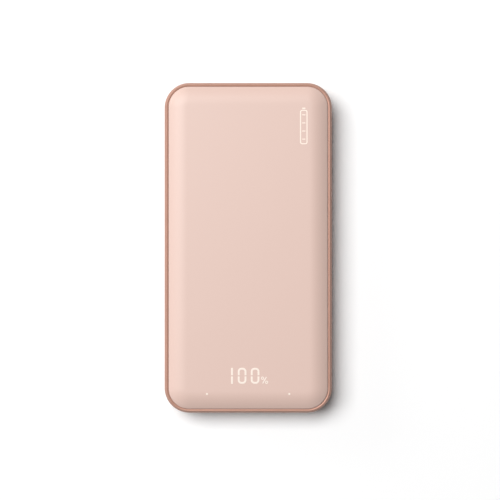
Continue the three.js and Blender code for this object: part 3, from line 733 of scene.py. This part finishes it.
def mouth_surface(surface, mouth, sizes, heights, tunnel, place):
    """Adds one opening through the wall: from the window's edge to a rounded lip, through the tunnel's
    (offset, depth) points, and out to the same window on the inner side. place puts (across, up, depth).
    """
    core, normal = mouth.stations()
    lip = sizes.lip
    turn = run(0, math.pi / 2, LIP_STEPS)
    lip_profile = np.stack([lip * (1 - np.sin(turn)), lip * (1 - np.cos(turn))], axis=1)
    profile = np.concatenate([lip_profile, tunnel])
    rings = core[None] + (mouth.radius + profile[:, :1, None]) * normal[None]
    depth = np.broadcast_to(profile[:, 1][:, None, None], rings.shape[:2] + (1,))
    edge = rectangle_ring(run(*mouth.window), heights)
    outer = np.column_stack([edge, np.zeros(len(edge))])[None]
    inner = np.column_stack([edge, np.full(len(edge), sizes.wall)])[None]
    rows = np.concatenate([outer, np.concatenate([rings, depth], axis=2), inner])
    surface.grid(place(rows), close_columns=True)


def end_wall(points):
    """(across, up, depth) points placed on the end wall that holds the sockets."""
    return np.stack([points[..., 0], -HALF_Y + points[..., 2], points[..., 1]], axis=-1)


def button_wall(points):
    """(across, up, depth) points placed on the side wall that holds the button."""
    return np.stack([HALF_X - points[..., 2], points[..., 0], points[..., 1]], axis=-1)


def softened(points, reaches, steps=6):
    """The polyline with each inner corner replaced by the parabola that starts its reach before the
    corner and ends the same reach after it, tangent to both sides.
    """
    points = np.asarray(points, float)
    before, corner, after = points[:-2], points[1:-1], points[2:]
    reach = np.asarray(reaches, float)[:, None]
    start = corner + reach * (before - corner) / np.linalg.norm(before - corner, axis=1, keepdims=True)
    end = corner + reach * (after - corner) / np.linalg.norm(after - corner, axis=1, keepdims=True)
    part = run(0, 1, steps)[None, :, None]
    bend = (1 - part) ** 2 * start[:, None] + 2 * part * (1 - part) * corner[:, None] + part**2 * end[:, None]
    return np.concatenate([points[:1], bend.reshape(-1, 2), points[-1:]])


def band_heights(sizes):
    """The heights of the rows on the frame's flat band, which ends where its shoulders start to round."""
    reach = sizes.band / 2 - sizes.shoulder_round
    return run(MID_Z - reach, MID_Z + reach, BAND_ROWS)


def frame_section(sizes):
    """The frame's closed section as (inset, height): the band, a wide chamfer that climbs to the crest,
    a land that falls gently inwards, the inner wall, then the same below. The corners between them are
    softened. Both walls have the same rows along the band.
    """
    heights = band_heights(sizes)
    corners = [
        (0, heights[-1]),
        (0, MID_Z + sizes.band / 2),
        (sizes.crest, BEAD_TOP),
        (sizes.wall, BEAD_TOP - sizes.land_fall),
        (sizes.wall, heights[-1]),
    ]
    shoulder = 0.9 * sizes.shoulder_round  # so that the bend stays clear of the band's last row
    upper = softened(corners, (shoulder, sizes.crest_round, sizes.rim_round))[1:-1]
    lower = (upper * (1, -1) + (0, TOP_Z))[::-1]
    outer = np.stack([np.zeros(len(heights)), heights], axis=1)
    inner = np.stack([np.full(len(heights), sizes.wall), heights[::-1]], axis=1)
    return np.concatenate([outer, upper, inner, lower]), len(outer) + len(upper)


def frame_mouths():
    """The mouths in the end wall and the one for the button, placed and sized by the pieces behind them."""
    mouths = {0: [], 1: []}
    for side in ("left", "right"):
        low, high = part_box(f"usb_a_{side}_shell")
        half_width = (high.x - low.x) / 2 - MOUTH_OVERLAP
        half_height = (high.z - low.z) / 2 - MOUTH_OVERLAP
        centre, window = (low.x + high.x) / 2, half_width + LARGE_RIM
        mouths[0].append(Mouth(centre, half_width, half_height, LARGE_CORNER, window, 26, (4, 4)))
    low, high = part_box("usb_c_shell")
    half_width = (high.x - low.x) / 2 + MOUTH_CLEARANCE
    half_height = (high.z - low.z) / 2 + MOUTH_CLEARANCE
    window = half_width + SMALL_RIM
    mouths[0].append(Mouth(0, half_width, half_height, half_height, window, 28, (8, 11)))
    low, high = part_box("power_button")
    half_width = (high.y - low.y) / 2 - FLANGE_RIM_Y + MOUTH_CLEARANCE
    half_height = (high.z - low.z) / 2 - FLANGE_RIM_Z + MOUTH_CLEARANCE
    centre, window = (low.y + high.y) / 2, half_width + BUTTON_RIM
    mouths[1].append(Mouth(centre, half_width, half_height, half_height, window, 30, (8, 11)))
    return mouths


def make_mid_frame(context):
    """The mid frame: its section carried round the housing, with the mouths set into both of its walls."""
    sizes = context.scene.bank_sizes
    mouths = frame_mouths()
    windows = {side: [mouth.window for mouth in found] for side, found in mouths.items()}
    core, normal = housing_ring(sizes, windows)
    section, inner_start = frame_section(sizes)
    rows = carried(section * np.array([-1, 1]), sizes.corner_radius, (core, normal))
    keep = np.ones(rows.shape[:2], bool)
    along = {0: (core[:, 0], normal[:, 1] < -0.999), 1: (core[:, 1], normal[:, 0] > 0.999)}
    for side, found in mouths.items():
        place, faces_out = along[side]
        for mouth in found:
            low, high, _ = mouth.window
            middle = (place + np.roll(place, -1)) / 2
            inside = faces_out & np.roll(faces_out, -1) & (middle > low) & (middle < high)
            keep[:BAND_ROWS, inside] = False
            keep[inner_start : inner_start + BAND_ROWS, inside] = False
    surface = Surface().grid(rows, close_rows=True, close_columns=True, keep=keep)
    heights = band_heights(sizes)
    stepped = np.array([(0, PANEL), (POCKET, PANEL), (POCKET, sizes.wall)])
    straight = np.array([(0, sizes.wall)])
    for mouth in mouths[0]:
        is_large = mouth.radius < mouth.half_height
        mouth_surface(surface, mouth, sizes, heights, stepped if is_large else straight, end_wall)
    for mouth in mouths[1]:
        mouth_surface(surface, mouth, sizes, heights, straight, button_wall)
    data = surface.mesh("mid_frame_ring")
    finish = finish_for("frame_finish", context)
    finished(data, "mid_frame_ring", finish, "housing", ["mid_frame"])


# ---------------------------------------------------------------- button


def make_button(context):
    """The button: a stadium cap with a rounded edge and a shallow dish, and the flange behind the wall."""
    low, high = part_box("power_button")
    half_y, half_z = (high.y - low.y) / 2, (high.z - low.z) / 2
    centre_y, centre_z = (high.y + low.y) / 2, (high.z + low.z) / 2
    radius = half_z - FLANGE_RIM_Z
    cap_y = half_y - FLANGE_RIM_Y

    def place(rows):
        return np.stack([rows[..., 2], centre_y + rows[..., 0], centre_z + rows[..., 1]], axis=-1)

    edge, dish, steps = 0.4 * MM, 0.1 * MM, 8
    turn = run(0, math.pi / 2, steps)
    edge_rows = np.stack([-edge * (1 - np.cos(turn)), high.x - edge + edge * np.sin(turn)], axis=1)
    part = run(0, 1, steps)[1:]
    reach = radius - edge
    bowl = dish * (1 - (1 - part**2) ** 2)
    dish_rows = np.stack([-edge - reach * part, high.x - bowl], axis=1)
    base = [(0, low.x + FLANGE_DEPTH / 2)]
    stadium = plain_ring(cap_y, radius, radius, 14, spacing=0.7 * MM)
    cap = carried(np.concatenate([base, edge_rows, dish_rows]), radius, stadium)
    surface = Surface().grid(place(cap), close_columns=True)
    surface.lid(place(cap[0]))
    button = surface.mesh("power_button_cap")
    flange = rounded_block(Surface(), low, (low.x + FLANGE_DEPTH, high.y, high.z), 0.2 * MM, 3)
    data = combined(button, flange.mesh("flange"), "UNION")
    finish = finish_for("frame_finish", context)
    finished(data, "power_button_cap", finish, "button", ["power_button"])


# ---------------------------------------------------------------- sockets


def shell_tube(surface, node, wall, radius, arcs):
    """Adds a drawn shell: its section, with a rounded front lip, carried round the socket's outline."""
    low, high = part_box(node)
    half_x, half_z = (high.x - low.x) / 2, (high.z - low.z) / 2
    centre = ((high.x + low.x) / 2, (high.z + low.z) / 2)
    turn = run(0, math.pi, 8)
    lip = np.stack([-wall / 2 + wall / 2 * np.cos(turn), low.y + wall / 2 * (1 - np.sin(turn))], axis=1)
    section = np.concatenate([[(0, high.y)], lip, [(-wall, high.y)]])
    stations = plain_ring(half_x, half_z, radius, arcs, spacing=1.5 * MM)
    rows = carried(section, radius, stations)
    placed = np.stack([centre[0] + rows[..., 0], rows[..., 2], centre[1] + rows[..., 1]], axis=-1)
    return surface.grid(placed, close_rows=True, close_columns=True)


def spring_strip(surface, x, z_wall, inward, y_low, y_high, width):
    """Adds a spring tongue that bows off a socket's wall: its middle stands in by a sine arch."""
    thick, bow, steps = 0.22 * MM, 0.45 * MM, 14
    part = run(0, 1, steps)
    y = y_low + (y_high - y_low) * part
    z = z_wall + inward * bow * np.sin(math.pi * part) ** 1.5
    ring = [(-1, 0), (-0.86, 1), (0.86, 1), (1, 0), (0.86, -0.4), (-0.86, -0.4)]
    across, up = np.array(ring).T
    rows = np.stack(
        [
            np.broadcast_to(x + across * width / 2, (len(y), len(across))),
            np.broadcast_to(y[:, None], (len(y), len(across))),
            z[:, None] + inward * up * thick / 2,
        ],
        axis=-1,
    )
    surface.grid(rows, close_columns=True)
    surface.lid(rows[0])
    surface.lid(rows[-1])


def make_sockets(context):
    """The three drawn steel shells; the large ones with their spring tongues."""
    steel = finish_for("port_steel", context)
    spring_place, spring_start, spring_end, spring_width = 3.1 * MM, 2.2 * MM, 8.5 * MM, 2.2 * MM
    for side in ("left", "right"):
        node = f"usb_a_{side}_shell"
        surface = shell_tube(Surface(), node, SHELL_WALL, LARGE_CORNER, 8)
        low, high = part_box(node)
        centre = (low.x + high.x) / 2
        ends = low.y + spring_start, low.y + spring_end
        for x in (centre - spring_place, centre + spring_place):
            for z, inward in ((low.z + SHELL_WALL, 1), (high.z - SHELL_WALL, -1)):
                spring_strip(surface, x, z, inward, *ends, spring_width)
        name = f"usb_a_{side}_tube"
        finished(surface.mesh(name), name, steel, "housing", [node])
    low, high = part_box("usb_c_shell")
    surface = shell_tube(Surface(), "usb_c_shell", SHELL_WALL, (high.z - low.z) / 2, 14)
    finished(surface.mesh("usb_c_tube"), "usb_c_tube", steel, "housing", ["usb_c_shell"])


def tongue_mesh(name, low, high, base_depth, base_round, front, back, tongue_round):
    """A socket's moulding: the base at the back of the box low to high, fused to the tongue."""
    base = rounded_block(Surface(), (low.x, high.y - base_depth, low.z), high, base_round)
    tongue = rounded_block(Surface(), front, back, tongue_round, 3)
    return combined(base.mesh(name), tongue.mesh("tongue"), "UNION")


def make_contacts(context):
    """The plastic tongues in the sockets, and the plated contacts that lie on them."""
    black = finish_for("port_insulator", context)
    gold = finish_for("contact_metal", context)
    base_depth, tongue_half = 3.3 * MM, 5.55 * MM
    tongue_low, tongue_high = MID_Z + 0.06 * MM, MID_Z + 1.90 * MM
    half_strip, proud, sunk = 0.5 * MM, 0.16 * MM, 0.1 * MM
    outer, inner, early, late = 3.5 * MM, 1.0 * MM, 0.9 * MM, 1.9 * MM
    for side in ("left", "right"):
        node = f"usb_a_{side}_core"
        low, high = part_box(node)
        centre = (low.x + high.x) / 2
        front = (centre - tongue_half, low.y, tongue_low)
        back = (centre + tongue_half, high.y - base_depth / 2, tongue_high)
        name = f"usb_a_{side}_tongue"
        data = tongue_mesh(name, low, high, base_depth, 0.25 * MM, front, back, 0.3 * MM)
        finished(data, name, black, "housing", [node])
        strips = Surface()
        for step, setback in ((-outer, early), (-inner, late), (inner, late), (outer, early)):
            x = centre + step
            start = (x - half_strip, low.y + setback, tongue_low - proud)
            end = (x + half_strip, high.y - base_depth, tongue_low + sunk)
            rounded_block(strips, start, end, 0.1 * MM)
        name = f"usb_a_{side}_contacts"
        finished(strips.mesh(name), name, gold, "housing")
    make_small_contacts(black, gold)


def make_small_contacts(black, gold):
    """The small socket's tongue, with twelve fine contacts above it and twelve below."""
    low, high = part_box("usb_c_core")
    tongue_half, base_depth, half_thickness = 3.345 * MM, 1.5 * MM, 0.35 * MM
    front = (-tongue_half, low.y, MID_Z - half_thickness)
    back = (tongue_half, high.y - base_depth / 2, MID_Z + half_thickness)
    data = tongue_mesh("usb_c_tongue", low, high, base_depth, 0.2 * MM, front, back, 0.2 * MM)
    finished(data, "usb_c_tongue", black, "housing", ["usb_c_core"])
    strips = Surface()
    pitch, half_strip, proud, buried = 0.5 * MM, 0.13 * MM, 0.05 * MM, 0.7
    count, early, late, early_ones = 12, 0.7 * MM, 1.1 * MM, (0, 3, 8, 11)
    for number in range(count):
        x = (number - (count - 1) / 2) * pitch
        y_low = low.y + (early if number in early_ones else late)
        for level in (-half_thickness, half_thickness):
            z = sorted((MID_Z + level * buried, MID_Z + level + math.copysign(proud, level)))
            ends = (x - half_strip, y_low, z[0]), (x + half_strip, high.y - base_depth, z[1])
            rounded_block(strips, *ends, 0.03 * MM, 1)
    finished(strips.mesh("usb_c_contacts"), "usb_c_contacts", gold, "housing")


# ---------------------------------------------------------------- display and printed sign

PROUD = 0.03 * MM  # how far lit and printed shapes stand over the cover
SUNK = 0.02 * MM  # how far they reach into it
ROUND_STEPS = 24
DIGIT_STEPS = (-6.0, -1.8, 3.6, 7.5)  # mm from the display's middle to the one, the noughts, the percent sign
SIGN_PLACE = (0.66, 0.735)  # shares of the half width and the half length
LOW_ARCH = [(-0.5, -SUNK), (-0.5, PROUD * 0.5), (0, PROUD), (0.5, PROUD * 0.5), (0.5, -SUNK)]


def ribbon(surface, path, width):
    """Adds a thin flat stroke along a path of (x, y) points: its section is a low arch on the cover's top.

    At each point the stroke is as wide as said, square to the path's mean direction there.
    """
    path = np.asarray(path, float)
    step = np.diff(path, axis=0)
    unit = step / np.linalg.norm(step, axis=1, keepdims=True)
    mean = np.concatenate([unit[:1], unit[:-1] + unit[1:], unit[-1:]])
    mean /= np.linalg.norm(mean, axis=1, keepdims=True)
    bend = np.concatenate([[1], np.clip((unit[:-1] * mean[1:-1]).sum(axis=1), 0.5, 1), [1]])
    left = np.stack([-mean[:, 1], mean[:, 0]], axis=1) / bend[:, None]
    across = np.array([-0.5, -0.5, -0.44, 0, 0.44, 0.5, 0.5])
    up = np.array([-SUNK, PROUD * 0.5, PROUD * 0.9, PROUD, PROUD * 0.9, PROUD * 0.5, -SUNK])
    flat = path[:, None] + left[:, None] * (across * width)[None, :, None]
    rise = np.broadcast_to((TOP_Z + up)[None, :, None], flat.shape[:2] + (1,))
    rows = np.concatenate([flat, rise], axis=2)
    surface.grid(rows, close_columns=True)
    surface.lid(rows[0])
    surface.lid(rows[-1])


def circle(x, y, radius):
    """Points on a circle, anticlockwise."""
    turn = np.linspace(0, 2 * math.pi, ROUND_STEPS, endpoint=False)
    return np.stack([x + radius * np.cos(turn), y + radius * np.sin(turn)], axis=1)


def dot(surface, x, y, radius):
    """Adds a round spot on the cover's top, a low dome closed below."""
    profile = [(1.0, -SUNK), (1.0, PROUD * 0.4), (0.9, PROUD * 0.9), (0.5, PROUD)]
    flat = np.stack([circle(x, y, radius * share) for share, _ in profile])
    rise = np.array([TOP_Z + height for _, height in profile])[:, None, None]
    rows = np.concatenate([flat, np.broadcast_to(rise, flat.shape[:2] + (1,))], axis=2)
    surface.grid(rows, close_columns=True)
    surface.fan(rows[0], (x, y, TOP_Z - SUNK))
    surface.fan(rows[-1], (x, y, TOP_Z + PROUD))


def arc_points(centre, radius, start, stop, steps):
    """Points on a circle's arc between two angles in degrees."""
    turn = np.radians(run(start, stop, steps))
    return np.stack([centre[0] + radius * np.cos(turn), centre[1] + radius * np.sin(turn)], axis=1)


def closed_stroke(surface, points, width):
    """Adds a stroke along a closed, anticlockwise path: a low arch on the cover's top, set at each point
    square to the line between its two neighbours.
    """
    step = np.roll(points, -1, axis=0) - np.roll(points, 1, axis=0)
    unit = step / np.linalg.norm(step, axis=1, keepdims=True)
    out = np.stack([unit[:, 1], -unit[:, 0]], axis=1)
    rows = [
        np.column_stack([points + out * share * width, np.full(len(points), TOP_Z + height)])
        for share, height in LOW_ARCH
    ]
    surface.grid(np.stack(rows), close_rows=True, close_columns=True)


def nought(surface, x, y, sizes, gap):
    """Adds a nought: an upper and a lower arch with rounded corners, and a small gap at mid-height."""
    half_x = (sizes.digit_width - sizes.stroke) / 2
    half_y = (sizes.digit_height - sizes.stroke) / 2
    corner, steps = half_x * 0.8, 6
    for end in (1, -1):
        first = arc_points((-half_x + corner, half_y - corner), corner, 180, 90, steps)
        last = arc_points((half_x - corner, half_y - corner), corner, 90, 0, steps)
        foot = [(half_x, gap / 2)]
        arch = np.concatenate([np.array(foot) * (-1, 1), first, last, foot])
        ribbon(surface, arch * (1, end) + (x, y), sizes.stroke)


def percent_sign(surface, x, y):
    """Adds a percent sign: two small rings and the slash between them."""
    ring_step, ring_radius, ring_stroke = 0.85 * MM, 0.48 * MM, 0.36 * MM
    slash_x, slash_y, slash_stroke = 0.8 * MM, 1.35 * MM, 0.42 * MM
    for side in (-1, 1):
        closed_stroke(surface, circle(x + side * ring_step, y - side * ring_step, ring_radius), ring_stroke)
    ribbon(surface, [(x - slash_x, y - slash_y), (x + slash_x, y + slash_y)], slash_stroke)


def make_display(context):
    """The lit display: the number 100 with its percent sign, and the two indicator spots."""
    sizes = context.scene.bank_sizes
    low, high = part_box("display_light_frame")
    middle_x, middle_y = (low.x + high.x) / 2, (low.y + high.y) / 2
    gap, spot_radius, percent_rise = 0.45 * MM, 0.43 * MM, 1.5 * MM
    one_x, first_x, second_x, percent_x = [middle_x + step * MM for step in DIGIT_STEPS]
    surface = Surface()
    half = sizes.digit_height / 2
    for end in (1, -1):
        ribbon(surface, [(one_x, middle_y + end * gap / 2), (one_x, middle_y + end * half)], sizes.stroke)
    nought(surface, first_x, middle_y, sizes, gap)
    nought(surface, second_x, middle_y, sizes, gap)
    percent_sign(surface, percent_x, middle_y - half + percent_rise)
    light = finish_for("display_light", context)
    finished(surface.mesh("charge_digits"), "charge_digits", light, "housing")
    spots = Surface()
    for side in ("left", "right"):
        low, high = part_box(f"indicator_led_{side}")
        dot(spots, (low.x + high.x) / 2, (low.y + high.y) / 2, spot_radius)
    finished(spots.mesh("indicator_spots"), "indicator_spots", light, "housing")


def make_sign(context):
    """The printed sign: a long battery outline with its terminal and four level bars."""
    sizes = context.scene.bank_sizes
    x, middle = HALF_X * SIGN_PLACE[0], HALF_Y * SIGN_PLACE[1]
    stroke = sizes.mark_stroke
    terminal, terminal_half, corner, steps, bars = 1.1 * MM, 0.65 * MM, 0.7 * MM, 6, 4
    half_x = (sizes.mark_width - stroke) / 2
    low = middle - sizes.mark_length / 2 + stroke / 2
    high = middle + sizes.mark_length / 2 - stroke / 2 - terminal
    top, bottom = high - corner, low + corner
    corners = [(1, top, 0), (-1, top, 90), (-1, bottom, 180), (1, bottom, 270)]
    arcs = [
        arc_points((x + side * (half_x - corner), y), corner, start, start + 90, steps)
        for side, y, start in corners
    ]
    surface = Surface()
    closed_stroke(surface, np.concatenate(arcs), stroke)
    y = high + terminal * 0.75
    ribbon(surface, [(x - terminal_half, y), (x + terminal_half, y)], stroke * 1.3)
    bar_room = (high - low - stroke) / bars
    for number in range(bars):
        y = low + stroke / 2 + bar_room * (number + 0.5)
        ribbon(surface, [(x - half_x / 2, y), (x + half_x / 2, y)], stroke)
    ink = finish_for("mark_ink", context)
    finished(surface.mesh("battery_sign"), "battery_sign", ink, "housing")


# ---------------------------------------------------------------- finishes of what is inside

INSIDE = (
    ("port_insulator", ("usb_c_riser", "board_header", "tact_switch_body")),
    ("contact_metal", ("tact_switch_plunger",)),
    ("board_laminate", ("main_board", "display_board")),
    ("card", ("board_insulator", "cell_tape")),
    ("inductor_core", ("power_inductor",)),
    ("chip_resin", ("charge_chip", "boost_chip", "protection_chip", "control_chip", "thermistor")),
    ("capacitor_can", [f"output_capacitor_{number}" for number in (1, 2, 3)]),
    ("screw_steel", [f"board_screw_{number}" for number in (1, 2, 3, 4)]),
    ("light_frame", ("display_light_frame", "display_diffuser", "indicator_led_left", "indicator_led_right")),
    ("cell_foil", ("battery_cell_lower", "battery_cell_upper")),
    ("foam", ("foam_pad_lower", "foam_pad_upper")),
    ("contact_metal", ("lower_tab_negative", "lower_tab_positive")),
    ("contact_metal", ("upper_tab_negative", "upper_tab_positive")),
)


def finish_inside(context):
    """Gives every piece inside the housing its own finish."""
    for slot, names in INSIDE:
        for name in names:
            node = frame["nodes"][name]
            node.data.materials.clear()
            node.data.materials.append(finish_for(slot, context))


# ---------------------------------------------------------------- stage


def add_softbox(context, name, place, sizes, power, aimed):
    """Adds a rectangular softbox, either facing straight down or aimed at the middle of the floor."""
    light = bpy.data.lights.new(name, "AREA")
    light.shape = "RECTANGLE"
    light.size, light.size_y = sizes
    light.energy = power
    lamp = bpy.data.objects.new(name, light)
    lamp.location = place
    if aimed:
        lamp.rotation_euler = Vector(place).to_track_quat("Z", "Y").to_euler()
    context.scene.collection.objects.link(lamp)


def make_floor(context):
    """A plain pale floor."""
    reach = 1.2
    floor = bpy.data.meshes.new("floor")
    corners = [(-reach, -reach, 0), (reach, -reach, 0), (reach, reach, 0), (-reach, reach, 0)]
    floor.from_pydata(corners, [], [(0, 1, 2, 3)])
    table = bpy.data.objects.new("floor", floor)
    context.scene.collection.objects.link(table)
    colour_of_floor = (*context.scene.bank_colours.floor, 1.0)
    looks = {"Base_Color": colour_of_floor, "Roughness": 0.9, "Specular_IOR_Level": 0.0}
    material = shader_of("Pale floor", **looks)[0]
    floor.materials.append(material)


def light_room(context, strength):
    """Even white light from all round at that strength, behind a backdrop that the camera sees as white."""
    world = bpy.data.worlds.new("room")
    world.use_nodes = True
    tree = world.node_tree
    room = tree.nodes["Background"]
    room.inputs["Strength"].default_value = strength
    room.inputs["Color"].default_value = (1, 1, 1, 1)
    backdrop = add_node(tree, "ShaderNodeBackground", inputs={"Color": (1, 1, 1, 1), "Strength": 1.0})
    ray = add_node(tree, "ShaderNodeLightPath")
    choice = add_node(tree, "ShaderNodeMixShader")
    wire(
        tree,
        (ray, "Is Camera Ray", choice, "Fac"),
        (room, 0, choice, 1),
        (backdrop, 0, choice, 2),
        (choice, 0, tree.nodes["World Output"], "Surface"),
    )
    context.scene.world = world


def make_stage(context):
    """The floor, a softbox overhead and a low one beside the bank, the room's light, and the camera."""
    studio = context.scene.bank_studio
    make_floor(context)
    place, sizes = (studio.light_x, studio.light_y, studio.light_z), (studio.light_width, studio.light_length)
    add_softbox(context, "softbox", place, sizes, studio.light_power, False)
    place, sizes = (studio.side_x, studio.side_y, studio.side_z), (studio.side_width, studio.side_length)
    add_softbox(context, "side light", place, sizes, studio.side_power, True)
    light_room(context, studio.ambient)
    context.scene.view_settings.view_transform = "Standard"
    data = bpy.data.cameras.new("camera")
    data.lens = studio.lens
    camera = bpy.data.objects.new("camera", data)
    camera.location = (studio.camera_x, studio.camera_y, studio.camera_z)
    context.scene.collection.objects.link(camera)
    context.scene.camera = camera


# ---------------------------------------------------------------- add-on


def runs(build):
    """The execute of an operator that runs one build function."""

    def execute(self, context):
        build(context)
        return {"FINISHED"}

    return execute


class BANK_OT_covers(bpy.types.Operator):
    """Make the top and bottom covers"""

    bl_idname = "bank.covers"
    bl_label = "Covers"
    execute = runs(make_covers)


class BANK_OT_mid_frame(bpy.types.Operator):
    """Make the mid frame with its mouths"""

    bl_idname = "bank.mid_frame"
    bl_label = "Mid frame"
    execute = runs(make_mid_frame)


class BANK_OT_button(bpy.types.Operator):
    """Make the side button"""

    bl_idname = "bank.button"
    bl_label = "Button"
    execute = runs(make_button)


class BANK_OT_sockets(bpy.types.Operator):
    """Make the steel shells of the three sockets"""

    bl_idname = "bank.sockets"
    bl_label = "Socket shells"
    execute = runs(make_sockets)


class BANK_OT_contacts(bpy.types.Operator):
    """Make the sockets' tongues and contacts"""

    bl_idname = "bank.contacts"
    bl_label = "Tongues and contacts"
    execute = runs(make_contacts)


class BANK_OT_display(bpy.types.Operator):
    """Make the lit digits and the indicator spots"""

    bl_idname = "bank.display"
    bl_label = "Display"
    execute = runs(make_display)


class BANK_OT_sign(bpy.types.Operator):
    """Make the printed battery sign"""

    bl_idname = "bank.sign"
    bl_label = "Battery sign"
    execute = runs(make_sign)


class BANK_OT_inside(bpy.types.Operator):
    """Give the pieces inside the housing their finishes"""

    bl_idname = "bank.inside"
    bl_label = "Inside finishes"
    execute = runs(finish_inside)


class BANK_OT_stage(bpy.types.Operator):
    """Make the floor, the light and the camera"""

    bl_idname = "bank.stage"
    bl_label = "Stage"
    execute = runs(make_stage)


OPERATORS = (
    BANK_OT_covers,
    BANK_OT_mid_frame,
    BANK_OT_button,
    BANK_OT_sockets,
    BANK_OT_contacts,
    BANK_OT_display,
    BANK_OT_sign,
    BANK_OT_inside,
    BANK_OT_stage,
)


class BANK_PT_panel(bpy.types.Panel):
    """Lists the sizes, the colours and the operators"""

    bl_idname = "BANK_PT_panel"
    bl_label = "Power bank"
    bl_space_type = "VIEW_3D"
    bl_region_type = "UI"
    bl_category = "Power bank"

    def draw(self, context):
        for group in (context.scene.bank_sizes, context.scene.bank_colours, context.scene.bank_studio):
            box = self.layout.box()
            for name in group.__annotations__:
                box.prop(group, name)
        for operator in OPERATORS:
            self.layout.operator(operator.bl_idname)


CLASSES = (BankSizes, BankColours, BankStudio, *OPERATORS, BANK_PT_panel)


def register():
    for item in CLASSES:
        bpy.utils.register_class(item)
    bpy.types.Scene.bank_sizes = PointerProperty(type=BankSizes)
    bpy.types.Scene.bank_colours = PointerProperty(type=BankColours)
    bpy.types.Scene.bank_studio = PointerProperty(type=BankStudio)


def unregister():
    for name in ("bank_studio", "bank_colours", "bank_sizes"):
        delattr(bpy.types.Scene, name)
    for item in reversed(CLASSES):
        bpy.utils.unregister_class(item)


def main():
    """Registers the add-on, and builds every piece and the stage."""
    register()
    bpy.ops.bank.covers()
    bpy.ops.bank.mid_frame()
    bpy.ops.bank.button()
    bpy.ops.bank.sockets()
    bpy.ops.bank.contacts()
    bpy.ops.bank.display()
    bpy.ops.bank.sign()
    bpy.ops.bank.inside()
    bpy.ops.bank.stage()


if __name__ == "__main__":
    main()
